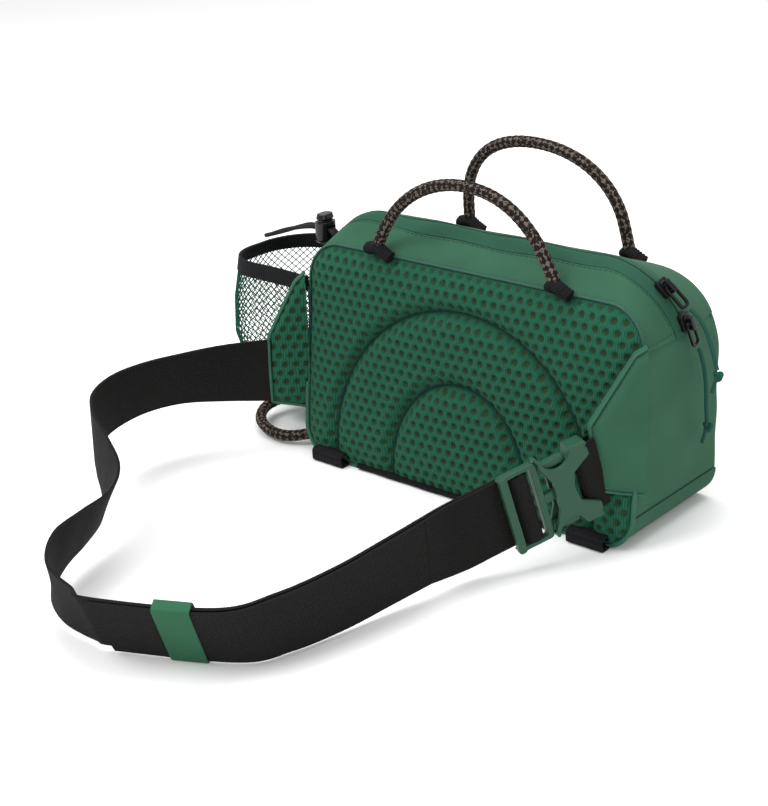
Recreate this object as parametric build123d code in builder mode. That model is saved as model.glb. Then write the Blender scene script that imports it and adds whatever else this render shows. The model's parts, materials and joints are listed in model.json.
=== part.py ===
from build123d import *
import os
from math import atan, cos, pi, radians, sin, sqrt, tan

# Waist pack: a small lumbar bag with a spacer-mesh back, an over-the-top zipper, two rope
# handles, a net bottle pocket, padded wings and a webbing belt with a side-release buckle.
# X runs across the wearer's back, -Y faces the wearer, +Z is up. The origin is the middle
# of the base, on the ground. All sizes are in millimetres.

os.makedirs("parts", exist_ok=True)

# ---------------------------------------------------------------- driving dimensions
pack_width = 224.0  # across the side panels
pack_depth = 82.0  # at the base, back to front
back_height = 127.0  # top seam of the back panel
back_lean = 12.5  # how far the back's top seam stands forward of its foot
side_seam_height = 105.0  # level seam between the side panels and the top bands
crest_height = 143.0  # zipper line, the highest line of the bag
crest_y = -8.0  # where the crest stands between back and front
zip_foot_y = 5.0  # where the zipper meets the side seam
front_height = 125.0  # top edge of the front panel
bottom_radius = 18.0  # lower corners of the back and front panels
back_corner = 20.0  # upper corners of the back panel
shoulder_radius = 38.0  # bend of the zipper over each shoulder
front_corner = 18.0  # upper corners of the front panel

fabric = 1.6  # sewn and taped outer cloth
spacer_mesh = 3.0
foam = 6.0
lining = 0.8
seam_gap = 0.1  # between the back stack and the cloth round it

webbing_width = 38.0  # belt webbing, 1.5 inch
webbing = 1.5  # belt webbing thickness
rope_diameter = 6.8  # tubular rope of the handles
cord_diameter = 2.2  # zipper pull cords
bungee_diameter = 2.6

running_gap = 0.35  # between pieces that move past each other

half_width = pack_width / 2
half_depth = pack_depth / 2
lean = atan(back_lean / back_height)
parts = []


def finish(builder, label):
    """Labels a finished sub-part and writes its file."""
    builder.part.label = label
    export_step(builder.part, "parts/" + label + ".step")
    parts.append(builder.part)


# ---------------------------------------------------------------- planes of the bag
def back_up(height, depth=0.0):
    """Distance up the leaning back, at a given depth inside it, that reaches a height."""
    return (height + depth * sin(lean)) / cos(lean)


back_plane = Plane(
    origin=(0, -half_depth, 0), x_dir=(1, 0, 0), z_dir=(0, -cos(lean), sin(lean))
)
front_plane = Plane(origin=(0, half_depth, 0), x_dir=(1, 0, 0), z_dir=(0, -1, 0))
front_inner = front_plane.offset(fabric)
zip_rise = crest_height - side_seam_height
zip_lean = atan((zip_foot_y - crest_y) / zip_rise)
zip_plane = Plane(
    origin=(0, zip_foot_y, side_seam_height),
    x_dir=(1, 0, 0),
    z_dir=(0, -cos(zip_lean), -sin(zip_lean)),
)
arch_rise = zip_rise / cos(zip_lean)


# ---------------------------------------------------------------- outlines
def panel_outline(foot, top, corner, inset=0.0):
    """Full outline of a back or front panel: a rounded rectangle from foot to top."""
    with BuildSketch(mode=Mode.PRIVATE) as outline:
        width = 2 * (half_width - inset)
        height = top - foot - 2 * inset
        with Locations((0, foot + inset + height / 2)):
            Rectangle(width, height)
        fillet(outline.vertices().group_by(Axis.Y)[0], bottom_radius - inset)
        fillet(outline.vertices().group_by(Axis.Y)[-1], corner - inset)
    return outline.sketch


def arch_outline(foot, top, corner, inset=0.0):
    """Outline of the bag above the side seam: flat below, round at both shoulders."""
    with BuildSketch(mode=Mode.PRIVATE) as outline:
        width = 2 * (half_width - inset)
        height = top - inset - foot
        with Locations((0, foot + height / 2)):
            Rectangle(width, height)
        fillet(outline.vertices().group_by(Axis.Y)[-1], corner - inset)
    return outline.sketch


def tub_outline(inset=0.0):
    """Outline of the bag below the side seam, round at both lower corners."""
    with BuildSketch(mode=Mode.PRIVATE) as outline:
        height = side_seam_height - inset
        with Locations((0, inset + height / 2)):
            Rectangle(2 * (half_width - inset), height)
        fillet(outline.vertices().group_by(Axis.Y)[0], bottom_radius - inset)
    return outline.sketch


def cap_body(inset):
    """Solid of the bag above the side seam, shrunk by inset: back arch, crest, front arch."""
    with BuildPart(mode=Mode.PRIVATE) as body:
        with BuildSketch(back_plane):
            add(arch_outline(back_up(side_seam_height), back_up(back_height), back_corner, inset))
        with BuildSketch(zip_plane):
            add(arch_outline(0, arch_rise, shoulder_radius, inset))
        with BuildSketch(front_inner):
            add(arch_outline(side_seam_height, front_height, front_corner, inset))
        loft(ruled=True)
    return body.part


def cap_layer(outer_inset, inner_inset):
    """Shell of the bag above the side seam between two insets."""
    with BuildPart(mode=Mode.PRIVATE) as layer:
        add(cap_body(outer_inset))
        add(cap_body(inner_inset), mode=Mode.SUBTRACT)
    return layer.part


cap_shell = cap_layer(0.0, fabric)

with BuildPart(mode=Mode.PRIVATE) as tub_shell:
    with BuildSketch(front_inner):
        add(tub_outline())
    extrude(amount=pack_depth)
    with BuildSketch(front_inner):
        add(tub_outline(fabric))
    extrude(amount=pack_depth, mode=Mode.SUBTRACT)
    split(bisect_by=back_plane, keep=Keep.BOTTOM)

# ---------------------------------------------------------------- back panel, three layers
back_layers = [
    ("back_spacer_mesh", 0.0, spacer_mesh),
    ("back_foam_pad", spacer_mesh, foam),
    ("back_lining", spacer_mesh + foam, lining),
]
back_edge = fabric + seam_gap
for layer_name, layer_depth, layer_thickness in back_layers:
    layer_foot = back_up(back_edge, layer_depth + layer_thickness) - back_edge
    with BuildPart() as back_layer:
        with BuildSketch(back_plane.offset(-layer_depth)):
            add(panel_outline(layer_foot, back_up(back_height), back_corner, back_edge))
        extrude(amount=-layer_thickness)
    finish(back_layer, layer_name)

# ---------------------------------------------------------------- base, sides and front
base_plane = Plane.XY.offset(bottom_radius)
with BuildPart() as base_panel:
    add(tub_shell.part)
    split(bisect_by=base_plane, keep=Keep.BOTTOM)
finish(base_panel, "base_panel")

for side_name, side_keep in (("side_panel_right", Keep.TOP), ("side_panel_left", Keep.BOTTOM)):
    with BuildPart() as side_panel:
        add(tub_shell.part)
        split(bisect_by=base_plane, keep=Keep.TOP)
        split(bisect_by=Plane.YZ, keep=side_keep)
    finish(side_panel, side_name)

with BuildPart() as front_panel:
    with BuildSketch(front_plane):
        add(panel_outline(0, front_height, front_corner))
    extrude(amount=fabric)
finish(front_panel, "front_panel")

# ---------------------------------------------------------------- top bands and zipper
tape_width = 9.0  # each side of the teeth
tape_gap = 0.3  # half the slit between the two tapes
coil_width = 5.0
coil_height = 1.4

with BuildPart() as top_band_rear:
    add(cap_shell)
    split(bisect_by=zip_plane.offset(tape_width), keep=Keep.TOP)
finish(top_band_rear, "top_band_rear")

with BuildPart() as top_band_front:
    add(cap_shell)
    split(bisect_by=zip_plane.offset(-tape_width), keep=Keep.BOTTOM)
finish(top_band_front, "top_band_front")

with BuildPart() as zipper_tape_rear:
    add(cap_shell)
    split(bisect_by=zip_plane.offset(tape_width), keep=Keep.BOTTOM)
    split(bisect_by=zip_plane.offset(tape_gap), keep=Keep.TOP)
finish(zipper_tape_rear, "zipper_tape_rear")

with BuildPart() as zipper_tape_front:
    add(cap_shell)
    split(bisect_by=zip_plane.offset(-tape_width), keep=Keep.TOP)
    split(bisect_by=zip_plane.offset(-tape_gap), keep=Keep.BOTTOM)
finish(zipper_tape_front, "zipper_tape_front")

with BuildPart() as zipper_coil:
    add(cap_layer(fabric, fabric + coil_height))
    split(bisect_by=zip_plane.offset(coil_width / 2), keep=Keep.BOTTOM)
    split(bisect_by=zip_plane.offset(-coil_width / 2), keep=Keep.TOP)
finish(zipper_coil, "zipper_coil")

# ---------------------------------------------------------------- zipper sliders
shoulder_centre = Vector(half_width - shoulder_radius, arch_rise - shoulder_radius, 0)
slider_length = 10.0
slider_width = 7.5
slider_height = 3.0
bridge_height = 2.6
pull_length = 15.0
pull_width = 6.5
pull_wire = 1.5
upper_slider_angle = 38.0  # round the shoulder, from level
lower_slider_angle = 8.0


def shoulder_frame(angle):
    """Plane on the zipper's outside: x down the tape, z straight out of it."""
    turn = radians(angle)
    radius = shoulder_radius + running_gap
    local = shoulder_centre + Vector(radius * cos(turn), radius * sin(turn), 0)
    outward = zip_plane.from_local_coords(Vector(cos(turn), sin(turn), 0))
    down = zip_plane.from_local_coords(Vector(sin(turn), -cos(turn), 0))
    start = zip_plane.from_local_coords(Vector(0, 0, 0))
    return Plane(
        origin=zip_plane.from_local_coords(local), x_dir=down - start, z_dir=outward - start
    )


def slider_solid(frame, label):
    """Slider with a bridge over the loop that the pull hangs from."""
    with BuildPart() as slider:
        with BuildSketch(frame):
            RectangleRounded(slider_length, slider_width, 2.0)
        extrude(amount=slider_height)
        with BuildSketch(frame.offset(slider_height)):
            with Locations((-2.6, 0), (3.4, 0)):
                Rectangle(1.4, 2.6)
        extrude(amount=bridge_height)
        with BuildSketch(frame.offset(slider_height + bridge_height)):
            with Locations((0.4, 0)):
                Rectangle(7.4, 2.6)
        extrude(amount=1.2)
    finish(slider, label)


def pull_solid(frame, label):
    """Wire loop of the pull: it turns on the bridge's lower post and lies down the tape."""
    level = frame.offset(slider_height + bridge_height / 2 - pull_wire / 2)
    with BuildPart() as pull:
        with BuildSketch(level):
            with Locations((pull_length / 2 - 0.8, 0)):
                RectangleRounded(pull_length, pull_width, 2.4)
                RectangleRounded(
                    pull_length - 2 * pull_wire, pull_width - 2 * pull_wire, 1.2,
                    mode=Mode.SUBTRACT,
                )
        extrude(amount=pull_wire)
    finish(pull, label)


upper_frame = shoulder_frame(upper_slider_angle)
lower_frame = shoulder_frame(lower_slider_angle)
slider_solid(upper_frame, "upper_slider")
slider_solid(lower_frame, "lower_slider")
pull_solid(upper_frame, "upper_pull_loop")
pull_solid(lower_frame, "lower_pull_loop")


# ---------------------------------------------------------------- cords
def bend_radii(points):
    """Arc radius at each corner: 0.45 of the shorter run over the tangent of half the turn."""
    radii = []
    for before, corner, after in zip(points, points[1:], points[2:]):
        first = Vector(*corner) - Vector(*before)
        second = Vector(*after) - Vector(*corner)
        turn = radians(first.get_angle(second))
        radii.append(0.45 * min(first.length, second.length) / tan(turn / 2))
    return radii


def cord_solid(points, diameter, label):
    """Tube along straight runs and tangent arcs through a hand-laid route."""
    radii = bend_radii(points)
    with BuildPart() as cord:
        with BuildLine() as route:
            FilletPolyline(*points, radius=radii)
        line = route.wires()[0]
        with BuildSketch(Plane(origin=line @ 0, z_dir=line % 0)):
            Circle(diameter / 2)
        sweep()
    ideal = pi * diameter**2 / 4 * line.length
    shown = [round(radius, 1) for radius in radii]
    print(label, "length", round(line.length, 1), "radii", shown,
          "volume ratio", round(cord.part.volume / ideal, 4))
    finish(cord, label)


def knot_solid(place, size, label):
    """Overhand knot of a pull cord, as a ball round the place where its ends meet."""
    with BuildPart() as knot:
        with Locations(place):
            Sphere(size / 2)
    finish(knot, label)


# Pull cords: each leaves its wire loop, hangs beside the bag and ends in a knot.
upper_cord_points = [
    (half_width + 6.0, -0.4, 120.6),
    (half_width + 9.6, 0.6, 118.4),
    (half_width + 14.6, 1.2, 110.8),
    (half_width + 18.8, 0.8, 101.5),
    (half_width + 22.6, -0.8, 91.9),
]
lower_cord_points = [
    (half_width + 7.2, 7.5, 97.6),
    (half_width + 9.6, 8.2, 90.5),
    (half_width + 10.8, 9.4, 79.0),
    (half_width + 10.6, 10.4, 67.5),
    (half_width + 10.8, 11.2, 57.5),
]
knot_size = 6.0
cord_solid(upper_cord_points, cord_diameter, "upper_pull_cord")
cord_solid(lower_cord_points, cord_diameter, "lower_pull_cord")


def knot_place(points):
    """Knot centre: just past the cord's last point, in line with its last run."""
    last = Vector(*points[-1])
    return last + (last - Vector(*points[-2])).normalized() * (knot_size / 2)


knot_solid(knot_place(upper_cord_points), knot_size, "upper_cord_knot")
knot_solid(knot_place(lower_cord_points), knot_size, "lower_cord_knot")

# ---------------------------------------------------------------- handles
back_handle_y = -31.2
back_handle_z = 131.6
front_handle_y = 38.0
front_handle_z = 131.0
tab_length = 8.0  # rope end flattened and sewn into the seam beside the foot
tab_width = 5.0
tab_height = 2.6

back_handle_points = [
    (-59, 0), (-54, 10), (-46, 21.5), (-34, 32), (-18, 39.5), (0, 42.5),
    (18, 40.5), (33, 34), (45, 23.5), (53, 11.5), (58.5, 0),
]
front_handle_points = [
    (-49.5, 0), (-50.5, 13), (-48.5, 26), (-41.5, 38), (-29, 46.5), (-11, 50.5), (10, 49.5),
    (28, 44), (42, 34.5), (51, 22.5), (55, 11), (57.5, 0),
]


def handle_solids(points, y, z, label):
    """Rope handle that turns on the line of its feet, and the sewn-down ends beside them."""
    rise = [(x, y, z + height) for x, height in points]
    cord_solid(rise, rope_diameter, label)
    with BuildPart() as tabs:
        for side, foot in ((-1, points[0][0]), (1, points[-1][0])):
            middle = foot + side * (rope_diameter / 2 + running_gap + 0.4 + tab_length / 2)
            with Locations((middle, y, z - rope_diameter / 8)):
                Box(tab_length, tab_width, tab_height)
    finish(tabs, label + "_tabs")


handle_solids(back_handle_points, back_handle_y, back_handle_z, "back_handle")
handle_solids(front_handle_points, front_handle_y, front_handle_z, "front_handle")

# ---------------------------------------------------------------- bottle pocket
rim_height = 105.0
binding_height = 8.0
net = 1.2
binding = 2.2
pocket_gap = 0.1  # between the pocket and the side panel it is sewn to
pocket_floor_height = 17.0
# level, outward reach from the side panel, back edge, front edge, corner radius
pocket_levels = [
    (pocket_floor_height, 56.0, -22.0, 26.0, 18.0),
    (56.0, 82.0, -33.5, 38.0, 30.0),
    (rim_height - binding_height, 74.0, -33.5, 36.0, 30.0),
]


def pocket_outline(level, inset, past=0.0):
    """Plan of the pocket at a level: square against the bag, round on its outside."""
    reach, back, front, corner = level[1:]
    inner_x = -half_width - pocket_gap + past
    outer_x = -half_width - reach + inset
    with BuildSketch(mode=Mode.PRIVATE) as outline:
        with Locations(((inner_x + outer_x) / 2, (back + front) / 2)):
            Rectangle(inner_x - outer_x, front - back - 2 * inset)
        fillet(outline.vertices().group_by(Axis.X)[0], corner - inset)
    return outline.sketch


with BuildPart() as pocket_net:
    for pocket_level in pocket_levels:
        with BuildSketch(Plane.XY.offset(pocket_level[0])):
            add(pocket_outline(pocket_level, 0.0))
    loft(ruled=True)
    for pocket_level in pocket_levels:
        with BuildSketch(Plane.XY.offset(pocket_level[0])):
            add(pocket_outline(pocket_level, net, 2.0))
    loft(ruled=True, mode=Mode.SUBTRACT)
finish(pocket_net, "bottle_pocket_net")

with BuildPart() as pocket_floor:
    with BuildSketch(Plane.XY.offset(pocket_floor_height)):
        add(pocket_outline(pocket_levels[0], 0.0))
    extrude(amount=-fabric)
finish(pocket_floor, "bottle_pocket_floor")

binding_plane = Plane.XY.offset(rim_height - binding_height)
with BuildPart() as pocket_binding:
    with BuildSketch(binding_plane):
        add(pocket_outline(pocket_levels[-1], 0.0))
        add(pocket_outline(pocket_levels[-1], binding, 2.0), mode=Mode.SUBTRACT)
    extrude(amount=binding_height)
finish(pocket_binding, "bottle_pocket_binding")

# Cord lock: an oval barrel on the pocket's bungee with a sprung plunger.
lock_place = Vector(-half_width - 10.0, -5.0, 117.5)
lock_length = 13.0
lock_width = 9.6
lock_height = 12.0
lock_wall = 1.6
plunger_gap = 0.1
plunger_length = lock_length - 2 * lock_wall - 2 * plunger_gap
plunger_width = lock_width - 2 * lock_wall - 2 * plunger_gap
plunger_travel = 1.2
head_gap = 0.4
head_height = 3.0
lock_floor = 2.0
spring_height = 2.6
slot_width = 2 * bungee_diameter + 1.8
slot_height = bungee_diameter + 1.2
slot_level = 7.6  # above the barrel's foot
lock_plane = Plane(origin=lock_place, x_dir=(0, 1, 0), z_dir=(0, 0, 1))
slot_plane = Plane(
    origin=lock_place + Vector(0, 0, slot_level), x_dir=(0, 1, 0), z_dir=(1, 0, 0)
)

with BuildPart() as lock_body:
    with BuildSketch(lock_plane):
        RectangleRounded(lock_length, lock_width, lock_width / 2 - 0.2)
    extrude(amount=lock_height)
    fillet(lock_body.faces().sort_by(Axis.Z)[0].edges(), 1.4)
    with BuildSketch(lock_plane.offset(lock_floor)):
        RectangleRounded(
            plunger_length + 2 * plunger_gap, plunger_width + 2 * plunger_gap,
            plunger_width / 2 - 0.1,
        )
    extrude(amount=lock_height, mode=Mode.SUBTRACT)
    with BuildSketch(slot_plane):
        RectangleRounded(slot_width, slot_height, 1.2)
    extrude(amount=lock_length, both=True, mode=Mode.SUBTRACT)
finish(lock_body, "cord_lock_barrel")

plunger_foot = lock_floor + spring_height + 0.1
plunger_top = lock_height + plunger_travel + head_gap
with BuildPart() as lock_plunger:
    with BuildSketch(lock_plane.offset(plunger_foot)):
        RectangleRounded(plunger_length, plunger_width, plunger_width / 2 - 0.2)
    extrude(amount=plunger_top - plunger_foot)
    with BuildSketch(lock_plane.offset(plunger_top)):
        RectangleRounded(lock_length - 1.6, lock_width - 1.6, lock_width / 2 - 1.0)
    extrude(amount=head_height, taper=14)
    with BuildSketch(slot_plane.offset(-lock_length)):
        with Locations((0, plunger_travel / 2)):
            Rectangle(slot_width, slot_height + plunger_travel)
    extrude(amount=2 * lock_length, mode=Mode.SUBTRACT)
finish(lock_plunger, "cord_lock_plunger")

spring_outer = 2.4
with BuildPart() as lock_spring:
    with BuildSketch(lock_plane.offset(lock_floor + 0.05)):
        Circle(spring_outer)
        Circle(spring_outer - 0.7, mode=Mode.SUBTRACT)
    extrude(amount=spring_height)
finish(lock_spring, "cord_lock_spring")

# Bungee: out of the side seam, up through the lock, round the pocket's rim and back.
strand = bungee_diameter / 2 + 0.2
lock_level = lock_place.Z + slot_level
bungee_points = [
    (-half_width - 2.0, -7.5, 108.0),
    (-half_width - 1.2, -7.0, lock_level - 7.0),
    (-half_width - 2.2, lock_place.Y - strand, lock_level),
    (-half_width - 18.0, lock_place.Y - strand, lock_level),
    (-half_width - 24.0, -5.4, 124.0),
    (-half_width - 35.0, -2.5, 121.0),
    (-half_width - 51.0, 1.0, 115.8),
    (-half_width - 65.5, 4.6, 109.8),
    (-half_width - 72.5, 6.5, 107.6),
    (-half_width - 70.0, 12.0, 107.8),
    (-half_width - 58.0, 11.0, 112.0),
    (-half_width - 44.0, 6.6, 117.4),
    (-half_width - 31.0, 1.0, 122.4),
    (-half_width - 24.0, -1.9, 124.6),
    (-half_width - 18.0, lock_place.Y + strand, lock_level),
    (-half_width - 2.2, lock_place.Y + strand, lock_level),
    (-half_width - 1.2, -3.0, lock_level - 7.0),
    (-half_width - 2.0, -1.2, 108.0),
]
cord_solid(bungee_points, bungee_diameter, "pocket_bungee")

# Gear loop of rope from the pocket's foot to the bag's lower back corner.
gear_loop_points = [
    (-half_width - 50.0, -3.0, 10.8),
    (-half_width - 56.0, -14.0, 9.0),
    (-half_width - 52.0, -28.0, 7.2),
    (-half_width - 40.0, -38.5, 5.8),
    (-half_width - 24.5, -42.5, 5.0),
    (-half_width - 11.5, -40.0, 5.6),
    (-half_width - 3.0, -31.0, 7.5),
]
cord_solid(gear_loop_points, rope_diameter, "gear_loop")

# ---------------------------------------------------------------- base trim
piping_radius = 2.1
piping_half_length = 70.0
piping_y = -half_depth - piping_radius - 0.1
with BuildPart() as piping:
    with BuildSketch(Plane(origin=(-piping_half_length, piping_y, piping_radius), z_dir=(1, 0, 0))):
        Circle(piping_radius)
    extrude(amount=2 * piping_half_length)
finish(piping, "base_piping")

lash_width = 22.0
lash_depth = 9.0
lash_height = 8.4
lash_wall = 1.2
lash_x = 89.0
for lash_name, lash_middle in (("lash_loop_left", -lash_x), ("lash_loop_right", lash_x)):
    lash_plane = Plane(origin=(lash_middle - lash_width / 2, 0, 0), x_dir=(0, 1, 0), z_dir=(1, 0, 0))
    with BuildPart() as lash_loop:
        with BuildSketch(lash_plane):
            with Locations((-half_depth - 0.1 - lash_depth / 2, lash_height / 2)):
                RectangleRounded(lash_depth, lash_height, 3.0)
                RectangleRounded(
                    lash_depth - 2 * lash_wall, lash_height - 2 * lash_wall, 1.8,
                    mode=Mode.SUBTRACT,
                )
        extrude(amount=lash_width)
    finish(lash_loop, lash_name)

# ---------------------------------------------------------------- wings
wing_mesh = 1.6
wing_foam = 2.6
wing_shell = 1.0


def wing_solids(root, heading, layers):
    """Padded wing: flat layers stacked behind its outward face, each with its own outline."""
    turn = radians(heading)
    wing_plane = Plane(
        origin=root, x_dir=(cos(turn), sin(turn), 0), z_dir=(sin(turn), -cos(turn), 0)
    )
    depth = 0.0
    for label, thickness, outline in layers:
        with BuildPart() as layer:
            with BuildSketch(wing_plane.offset(depth)):
                with BuildLine():
                    Polyline(*outline, close=True)
                make_face()
            extrude(amount=thickness)
        finish(layer, "wing_" + label)
        depth += thickness


left_outline = [(0, 27), (20, 30), (20, 70), (3, 102), (0, 104)]
wing_solids(
    (-half_width - 1.0, -38.0, 0), 226.0,
    [
        ("left_mesh", wing_mesh, left_outline),
        ("left_foam", wing_foam, left_outline),
        ("left_shell", wing_shell, left_outline),
    ],
)
right_outline = [(0, 32), (17, 35), (25.5, 70), (3, 106), (0, 109)]
right_inner_outline = [(9, 34), (17, 35), (25.5, 70), (9, 97)]
wing_solids(
    (half_width + 2.5, -37.5, 0), 225.0,
    [
        ("right_shell", wing_shell, right_outline),
        ("right_foam", wing_foam, right_inner_outline),
        ("right_mesh", wing_mesh, right_inner_outline),
    ],
)

# ---------------------------------------------------------------- buckle
buckle_place = Vector(76.0, -97.0, 33.0)  # middle of the male frame's outer end
buckle_heading = radians(63.5)  # towards the fixed half, in plan
buckle_rise = radians(15.2)
buckle_plane = Plane(
    origin=buckle_place,
    x_dir=(
        cos(buckle_heading) * cos(buckle_rise),
        sin(buckle_heading) * cos(buckle_rise),
        sin(buckle_rise),
    ),
    z_dir=(sin(buckle_heading), -cos(buckle_heading), 0),
)
buckle_side = Plane(origin=buckle_place, x_dir=buckle_plane.x_dir, z_dir=-buckle_plane.y_dir)

buckle_half = webbing_width / 2 + 3.0  # half its height across the webbing
frame_bar = 4.4
frame_length = 21.0
mouth = frame_length + running_gap
housing_half = 4.6
throat_half = 2.6
throat_height_half = buckle_half - 2.0
arm_half = 2.2
arm_height = 4.0
arm_reach = 15.0
notch_radius = 8.0  # round cut-outs over the arms
notch_x = 31.0
notch_y = buckle_half + 0.6
mouth_notch = 5.0  # the plates are cut back at the middle of the mouth
slot_end = 17.6
slot_half_height = webbing_width / 2 + 0.6
bar_radius = 1.7
far_bar_x = 45.0
far_bar_z = -1.2  # the socket's bar lies behind its prongs
prong_back = 2.4  # rear face of the prongs, in front of the webbing
prong_end = 48.6

with BuildPart() as buckle_socket:
    with BuildSketch(buckle_plane.offset(-housing_half)):
        with BuildLine():
            Polyline(
                (mouth, -buckle_half), (prong_end - 3, -buckle_half),
                (prong_end, -buckle_half + 4), (prong_end, 8 - buckle_half), (38.5, -8), (37, 0),
                (38.5, 8), (prong_end, buckle_half - 8), (prong_end, buckle_half - 4),
                (prong_end - 3, buckle_half), (mouth, buckle_half), (mouth, buckle_half - 3),
                (mouth + mouth_notch, 8), (mouth + mouth_notch, -8), (mouth, 3 - buckle_half), close=True,
            )
        make_face()
        with Locations((notch_x, -notch_y), (notch_x, notch_y)):
            Circle(notch_radius, mode=Mode.SUBTRACT)
    extrude(amount=2 * housing_half)
    with BuildSketch(buckle_plane.offset(-throat_half)):
        with Locations(((mouth + 36.5) / 2 - 1, 0)):
            Rectangle(36.5 - mouth + 2, 2 * throat_height_half)
    extrude(amount=2 * throat_half, mode=Mode.SUBTRACT)
    with BuildSketch(buckle_plane.offset(-housing_half - 1)):
        with Locations((40.0 + prong_end / 2, 0)):
            Rectangle(prong_end, 2 * slot_half_height)
    extrude(amount=housing_half + 1 + prong_back, mode=Mode.SUBTRACT)
    with BuildSketch(buckle_plane.offset(-housing_half)):
        for rail_side in (-1, 1):
            with Locations(((39 + prong_end) / 2, rail_side * (buckle_half + slot_half_height) / 2)):
                RectangleRounded(prong_end - 39, buckle_half - slot_half_height, 1.0)
    extrude(amount=2 * housing_half)
    far_bar = Plane(
        origin=buckle_plane.from_local_coords((far_bar_x, -slot_half_height - 0.5, far_bar_z)),
        x_dir=buckle_plane.x_dir, z_dir=buckle_plane.y_dir,
    )
    with BuildSketch(far_bar):
        Circle(bar_radius)
    extrude(amount=2 * slot_half_height + 1.0)
finish(buckle_socket, "buckle_socket")

bar_lift = 1.4  # the outer bar stands towards the front, over the webbing
centre_bar_x = 12.2
with BuildPart() as buckle_frame:
    with BuildSketch(buckle_plane.offset(-arm_half)):
        with Locations((frame_length / 2, 0)):
            RectangleRounded(frame_length, 2 * buckle_half, 2.5)
        with Locations(((frame_bar + slot_end) / 2, 0)):
            RectangleRounded(slot_end - frame_bar, 2 * slot_half_height, 1.0, mode=Mode.SUBTRACT)
    extrude(amount=2 * arm_half)
    with BuildSketch(buckle_plane.offset(-arm_half)):
        with Locations((frame_bar / 2, 0)):
            Rectangle(frame_bar + 1, 2 * slot_half_height)
    extrude(amount=2 * arm_half, mode=Mode.SUBTRACT)
    with BuildSketch(buckle_plane.offset(bar_lift - arm_half + 1.0)):
        with Locations((frame_bar / 2, 0)):
            RectangleRounded(frame_bar, 2 * buckle_half, 1.5)
    extrude(amount=2 * arm_half - 1.0)
    centre_bar = Plane(
        origin=buckle_plane.from_local_coords((centre_bar_x, -slot_half_height - 0.5, 0)),
        x_dir=buckle_plane.x_dir, z_dir=buckle_plane.y_dir,
    )
    with BuildSketch(centre_bar):
        Circle(bar_radius)
    extrude(amount=2 * slot_half_height + 1.0)
    with BuildSketch(buckle_plane.offset(-arm_half + 0.4)):
        with Locations((frame_length + 6.0, 0)):
            RectangleRounded(13.0, 5.0, 1.5)
    extrude(amount=2 * arm_half - 0.8)
finish(buckle_frame, "buckle_frame")

for arm_name, arm_side in (("buckle_arm_upper", 1), ("buckle_arm_lower", -1)):
    with BuildPart() as buckle_arm:
        with BuildSketch(buckle_plane.offset(-arm_half)):
            with BuildLine():
                inner = arm_side * (throat_height_half - arm_height - 0.6)
                outer = arm_side * (throat_height_half - 0.6)
                Polyline(
                    (mouth, inner), (mouth + arm_reach - 2, inner), (mouth + arm_reach, inner + arm_side),
                    (mouth + arm_reach - 1, outer), (mouth, outer - arm_side * 0.6), close=True,
                )
            make_face()
        extrude(amount=2 * arm_half)
    finish(buckle_arm, arm_name)

# ---------------------------------------------------------------- belt
buckle_travel = 22.0  # how far the frame pulls out of the socket
turn_tail = 3.0  # webbing that stays with the frame outside its outer bar
layer_step = webbing + 0.5

# Webbing round the frame's centre bar: in behind the outer bar and out the same way.
turn_lower = -arm_half - layer_step - webbing / 2
turn_upper = turn_lower + layer_step
turn_radius = bar_radius + 0.3 + webbing / 2
with BuildPart() as belt_turn:
    with BuildSketch(buckle_side):
        with BuildLine() as turn_line:
            Polyline(
                (-turn_tail, turn_lower), (centre_bar_x, turn_lower),
                (centre_bar_x + turn_radius, turn_lower + 2.6), (centre_bar_x + turn_radius, 1.2),
                (centre_bar_x + 1.2, turn_radius), (centre_bar_x - 2.0, turn_radius),
                (frame_bar + 0.8, turn_upper), (-turn_tail, turn_upper),
            )
        trace(turn_line.line, line_width=webbing)
    extrude(amount=webbing_width / 2, both=True)
finish(belt_turn, "belt_buckle_turn")

# Webbing stub round the socket's bar, out of the right wing.
stub_half = bar_radius + 0.2 + webbing
stub_length = 9.0
stub_start = far_bar_x - stub_half
with BuildPart() as belt_stub:
    with BuildSketch(buckle_side):
        with Locations((stub_start + stub_length / 2, far_bar_z)):
            RectangleRounded(stub_length, 2 * stub_half, stub_half - 0.1)
            RectangleRounded(
                stub_length - 2 * webbing, 2 * stub_half - 2 * webbing,
                stub_half - webbing - 0.1, mode=Mode.SUBTRACT,
            )
    extrude(amount=webbing_width / 2, both=True)
finish(belt_stub, "belt_stub")

# Belt route: middle of the webbing and how far its top edge leans from its bottom edge.
# It leaves the left wing, folds back twice as it lies and comes round to the buckle.
belt_route = [
    ((-129.5, -51.4, 50.0), (1, -1)),
    ((-148, -70, 50.0), (7, -4)),
    ((-162, -90, 50.0), (12, -7)),
    ((-171, -112, 49.0), (12, -6)),
    ((-172, -135, 47.0), (9, -3)),
    ((-163, -155, 44.5), (6, -3)),
    ((-146, -169, 41.5), (6, -3)),
    ((-126, -180, 37.0), (9, 0)),
    ((-108, -193, 32.0), (15, 4)),
    ((-97, -211, 28.5), (18, 6)),
    ((-90, -233, 27.0), (15, 4)),
    ((-80, -254, 25.0), (8, 0)),
    ((-61, -268, 22.0), (4, -9)),
    ((-36, -272, 20.8), (4, -14)),
    ((-24, -271.5, 20.4), (4, -17)),
    ((30, -244.5, 20.4), (4, -17)),
    ((43, -221, 20.8), (6, -13)),
    ((50, -191, 22.0), (6, -9)),
    ((55, -163, 25.0), (5, -6)),
    ((59.5, -141, 28.0), (3, -7)),
]
tail_start = 14  # index on the route where the free tail's hemmed end lies
keeper_run = 14  # index of the straight run that the keeper slides along


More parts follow.
